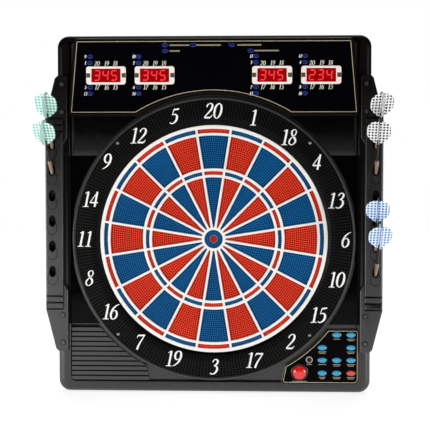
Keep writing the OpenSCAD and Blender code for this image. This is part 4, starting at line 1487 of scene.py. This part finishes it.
def darts():
    """Six darts, each a printed flight, a shaft, a ribbed barrel and a soft tip."""
    axes = {joint["child"]: Vector(joint["axis"]) for joint in frame["joints"]}
    tip = [(0, -TIP_LEN), (0.7, -TIP_LEN + 1.5), (1.0, -TIP_LEN + 5), (1.15, -5.5), (2.2, -4.6), (2.2, -0.02)]
    for node, (material, slot, turned) in FLIGHTS.items():
        matrix = dart_frame(node, axes[node])
        obj = flight(matrix, turned, node + "_flight", node, material, slot)
        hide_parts(node)
        piece(node + "_barrel", *lathe(barrel_profile(), 24, matrix), BRASS, node, slot)
        piece(node + "_shaft", *lathe(shaft_profile(), 20, matrix), SHAFT, node, slot)
        piece(node + "_tip", *lathe(tip, 16, matrix), TIP, node, slot)


# ---- inside and back ----

def inlet_pin():
    """The power inlet's centre pin."""
    place = moved_to(middle_of("power_inlet")[0], extent("power_inlet").low, 12)
    turn = Matrix.Rotation(-math.pi / 2, 4, "X")
    pin = lathe([(1.0, 10.2), (1.0, 2.2), (0.8, 1.4), (0.3, 1.2)], 20, place @ turn)
    piece("inlet_pin", *pin, BRASS, slot="black_abs")


def carried_over():
    """CAD nodes whose shape is right keep it and get a finish."""
    finishes = {
        "matrix_sheet": FILM, "backing_board": FIBRE, "main_board": BOARD, "speaker": CONE,
        "power_inlet": SHAFT, "display_modules": CHIP, "rear_cover": REAR, "body_screws": SCREW,
    }
    for name, material in finishes.items():
        mesh = nodes[name].data
        mesh.materials.clear()
        mesh.materials.append(material)
        mesh.set_sharp_from_angle(angle=math.radians(35))


# ---- stage ----

FLOOR_BACK, FLOOR_AHEAD, FLOOR_HALF = 5.0, 1.4, 5.0
FLOOR_GAP = 0.002
FLOOR_GLOW = 0.75
WORLD_LIGHT, WORLD_SEEN = 0.04, 1.0
LENS, DISTANCE = 100, 2.07
YAW, PITCH = math.radians(2.4), math.radians(2.4)
AIM = Vector((0.0022, -0.03, 0.0415))


def area_light(name, place, target_point, size, power, colour=(1, 1, 1)):
    data = bpy.data.lights.new(name, "AREA")
    data.shape = "RECTANGLE"
    data.size, data.size_y = size
    data.energy = power
    data.color = colour
    obj = linked(name, data)
    obj.location = place
    look(obj, Vector(target_point) - Vector(place))
    obj.visible_camera = False


def look(obj, direction):
    obj.rotation_mode = "QUATERNION"
    obj.rotation_quaternion = direction.to_track_quat("-Z", "Y")


def sun_light(name, tilt, energy):
    """A soft sun; a negative tilt, in degrees, brings it from behind the board."""
    data = bpy.data.lights.new(name, "SUN")
    data.energy = energy
    data.angle = math.radians(50)
    linked(name, data).rotation_euler = (math.radians(tilt), 0, 0)


def floor():
    """A pale floor that glows a little, so that it stays as pale as the photograph's ground."""
    low, front = cad_box[0].z - FLOOR_GAP, cad_box[0].y - FLOOR_AHEAD
    mesh = bpy.data.meshes.new("floor")
    corners = box_corners(-FLOOR_HALF, FLOOR_HALF, front, FLOOR_BACK)
    mesh.from_pydata([(x, y, low) for x, y in corners], [], [(0, 1, 2, 3)])
    material, tree, shader = new_material("floor_white")
    fill(tree, shader, Base_Color=(0.92, 0.92, 0.92, 1), Emission_Color=(1, 1, 1, 1),
         Emission_Strength=FLOOR_GLOW, Roughness=0.9, Specular_IOR_Level=0.2)
    mesh.materials.append(material)
    linked("floor", mesh)


def world():
    """White to the camera, and dim as a light."""
    studio = bpy.data.worlds.new("studio")
    studio.use_nodes = True
    tree = studio.node_tree
    seen = added(tree, "LightPath").outputs["Is Camera Ray"]
    strength = spread(tree, seen, WORLD_LIGHT, WORLD_SEEN, 0, 1)
    fill(tree, tree.nodes["Background"], Color=(1, 1, 1, 1), Strength=strength)
    scene.world = studio


def lights():
    sun_light("overhead", 0, 0.3)
    sun_light("behind", -45, 0.9)
    area_light("key_left", (-2.5, -1.7, 0.0), (0, 0, 0), (1.0, 1.0), 50)
    area_light("key_right", (2.5, -1.6, 0.0), (0, 0, 0), (1.0, 1.0), 42)
    area_light("side_left", (-0.90, -1.3, -0.20), (-0.25, 0, -0.12), (0.4, 0.3), 3.0, (1.0, 0.985, 0.96))


def camera():
    data = bpy.data.cameras.new("camera")
    data.sensor_width = 36
    data.lens = LENS
    data.clip_end = 50
    obj = linked("camera", data)
    back = Vector((math.sin(YAW) * math.cos(PITCH), -math.cos(YAW) * math.cos(PITCH), math.sin(PITCH)))
    obj.location = AIM + back * DISTANCE
    look(obj, -back)
    scene.camera = obj


camera()
floor()
world()
lights()
target()
bulls()
spider()
number_ring()
numerals()
ring_screws()
rim()
header()
shoulders()
side_inlays()
grille()
key_panel()
key_caps()
start_button()
reset_button()
key_labels()
displays()
indicators()
racks()
darts()
inlet_pin()
carried_over()

scene.view_settings.view_transform = "Standard"

bpy.context.view_layer.update()
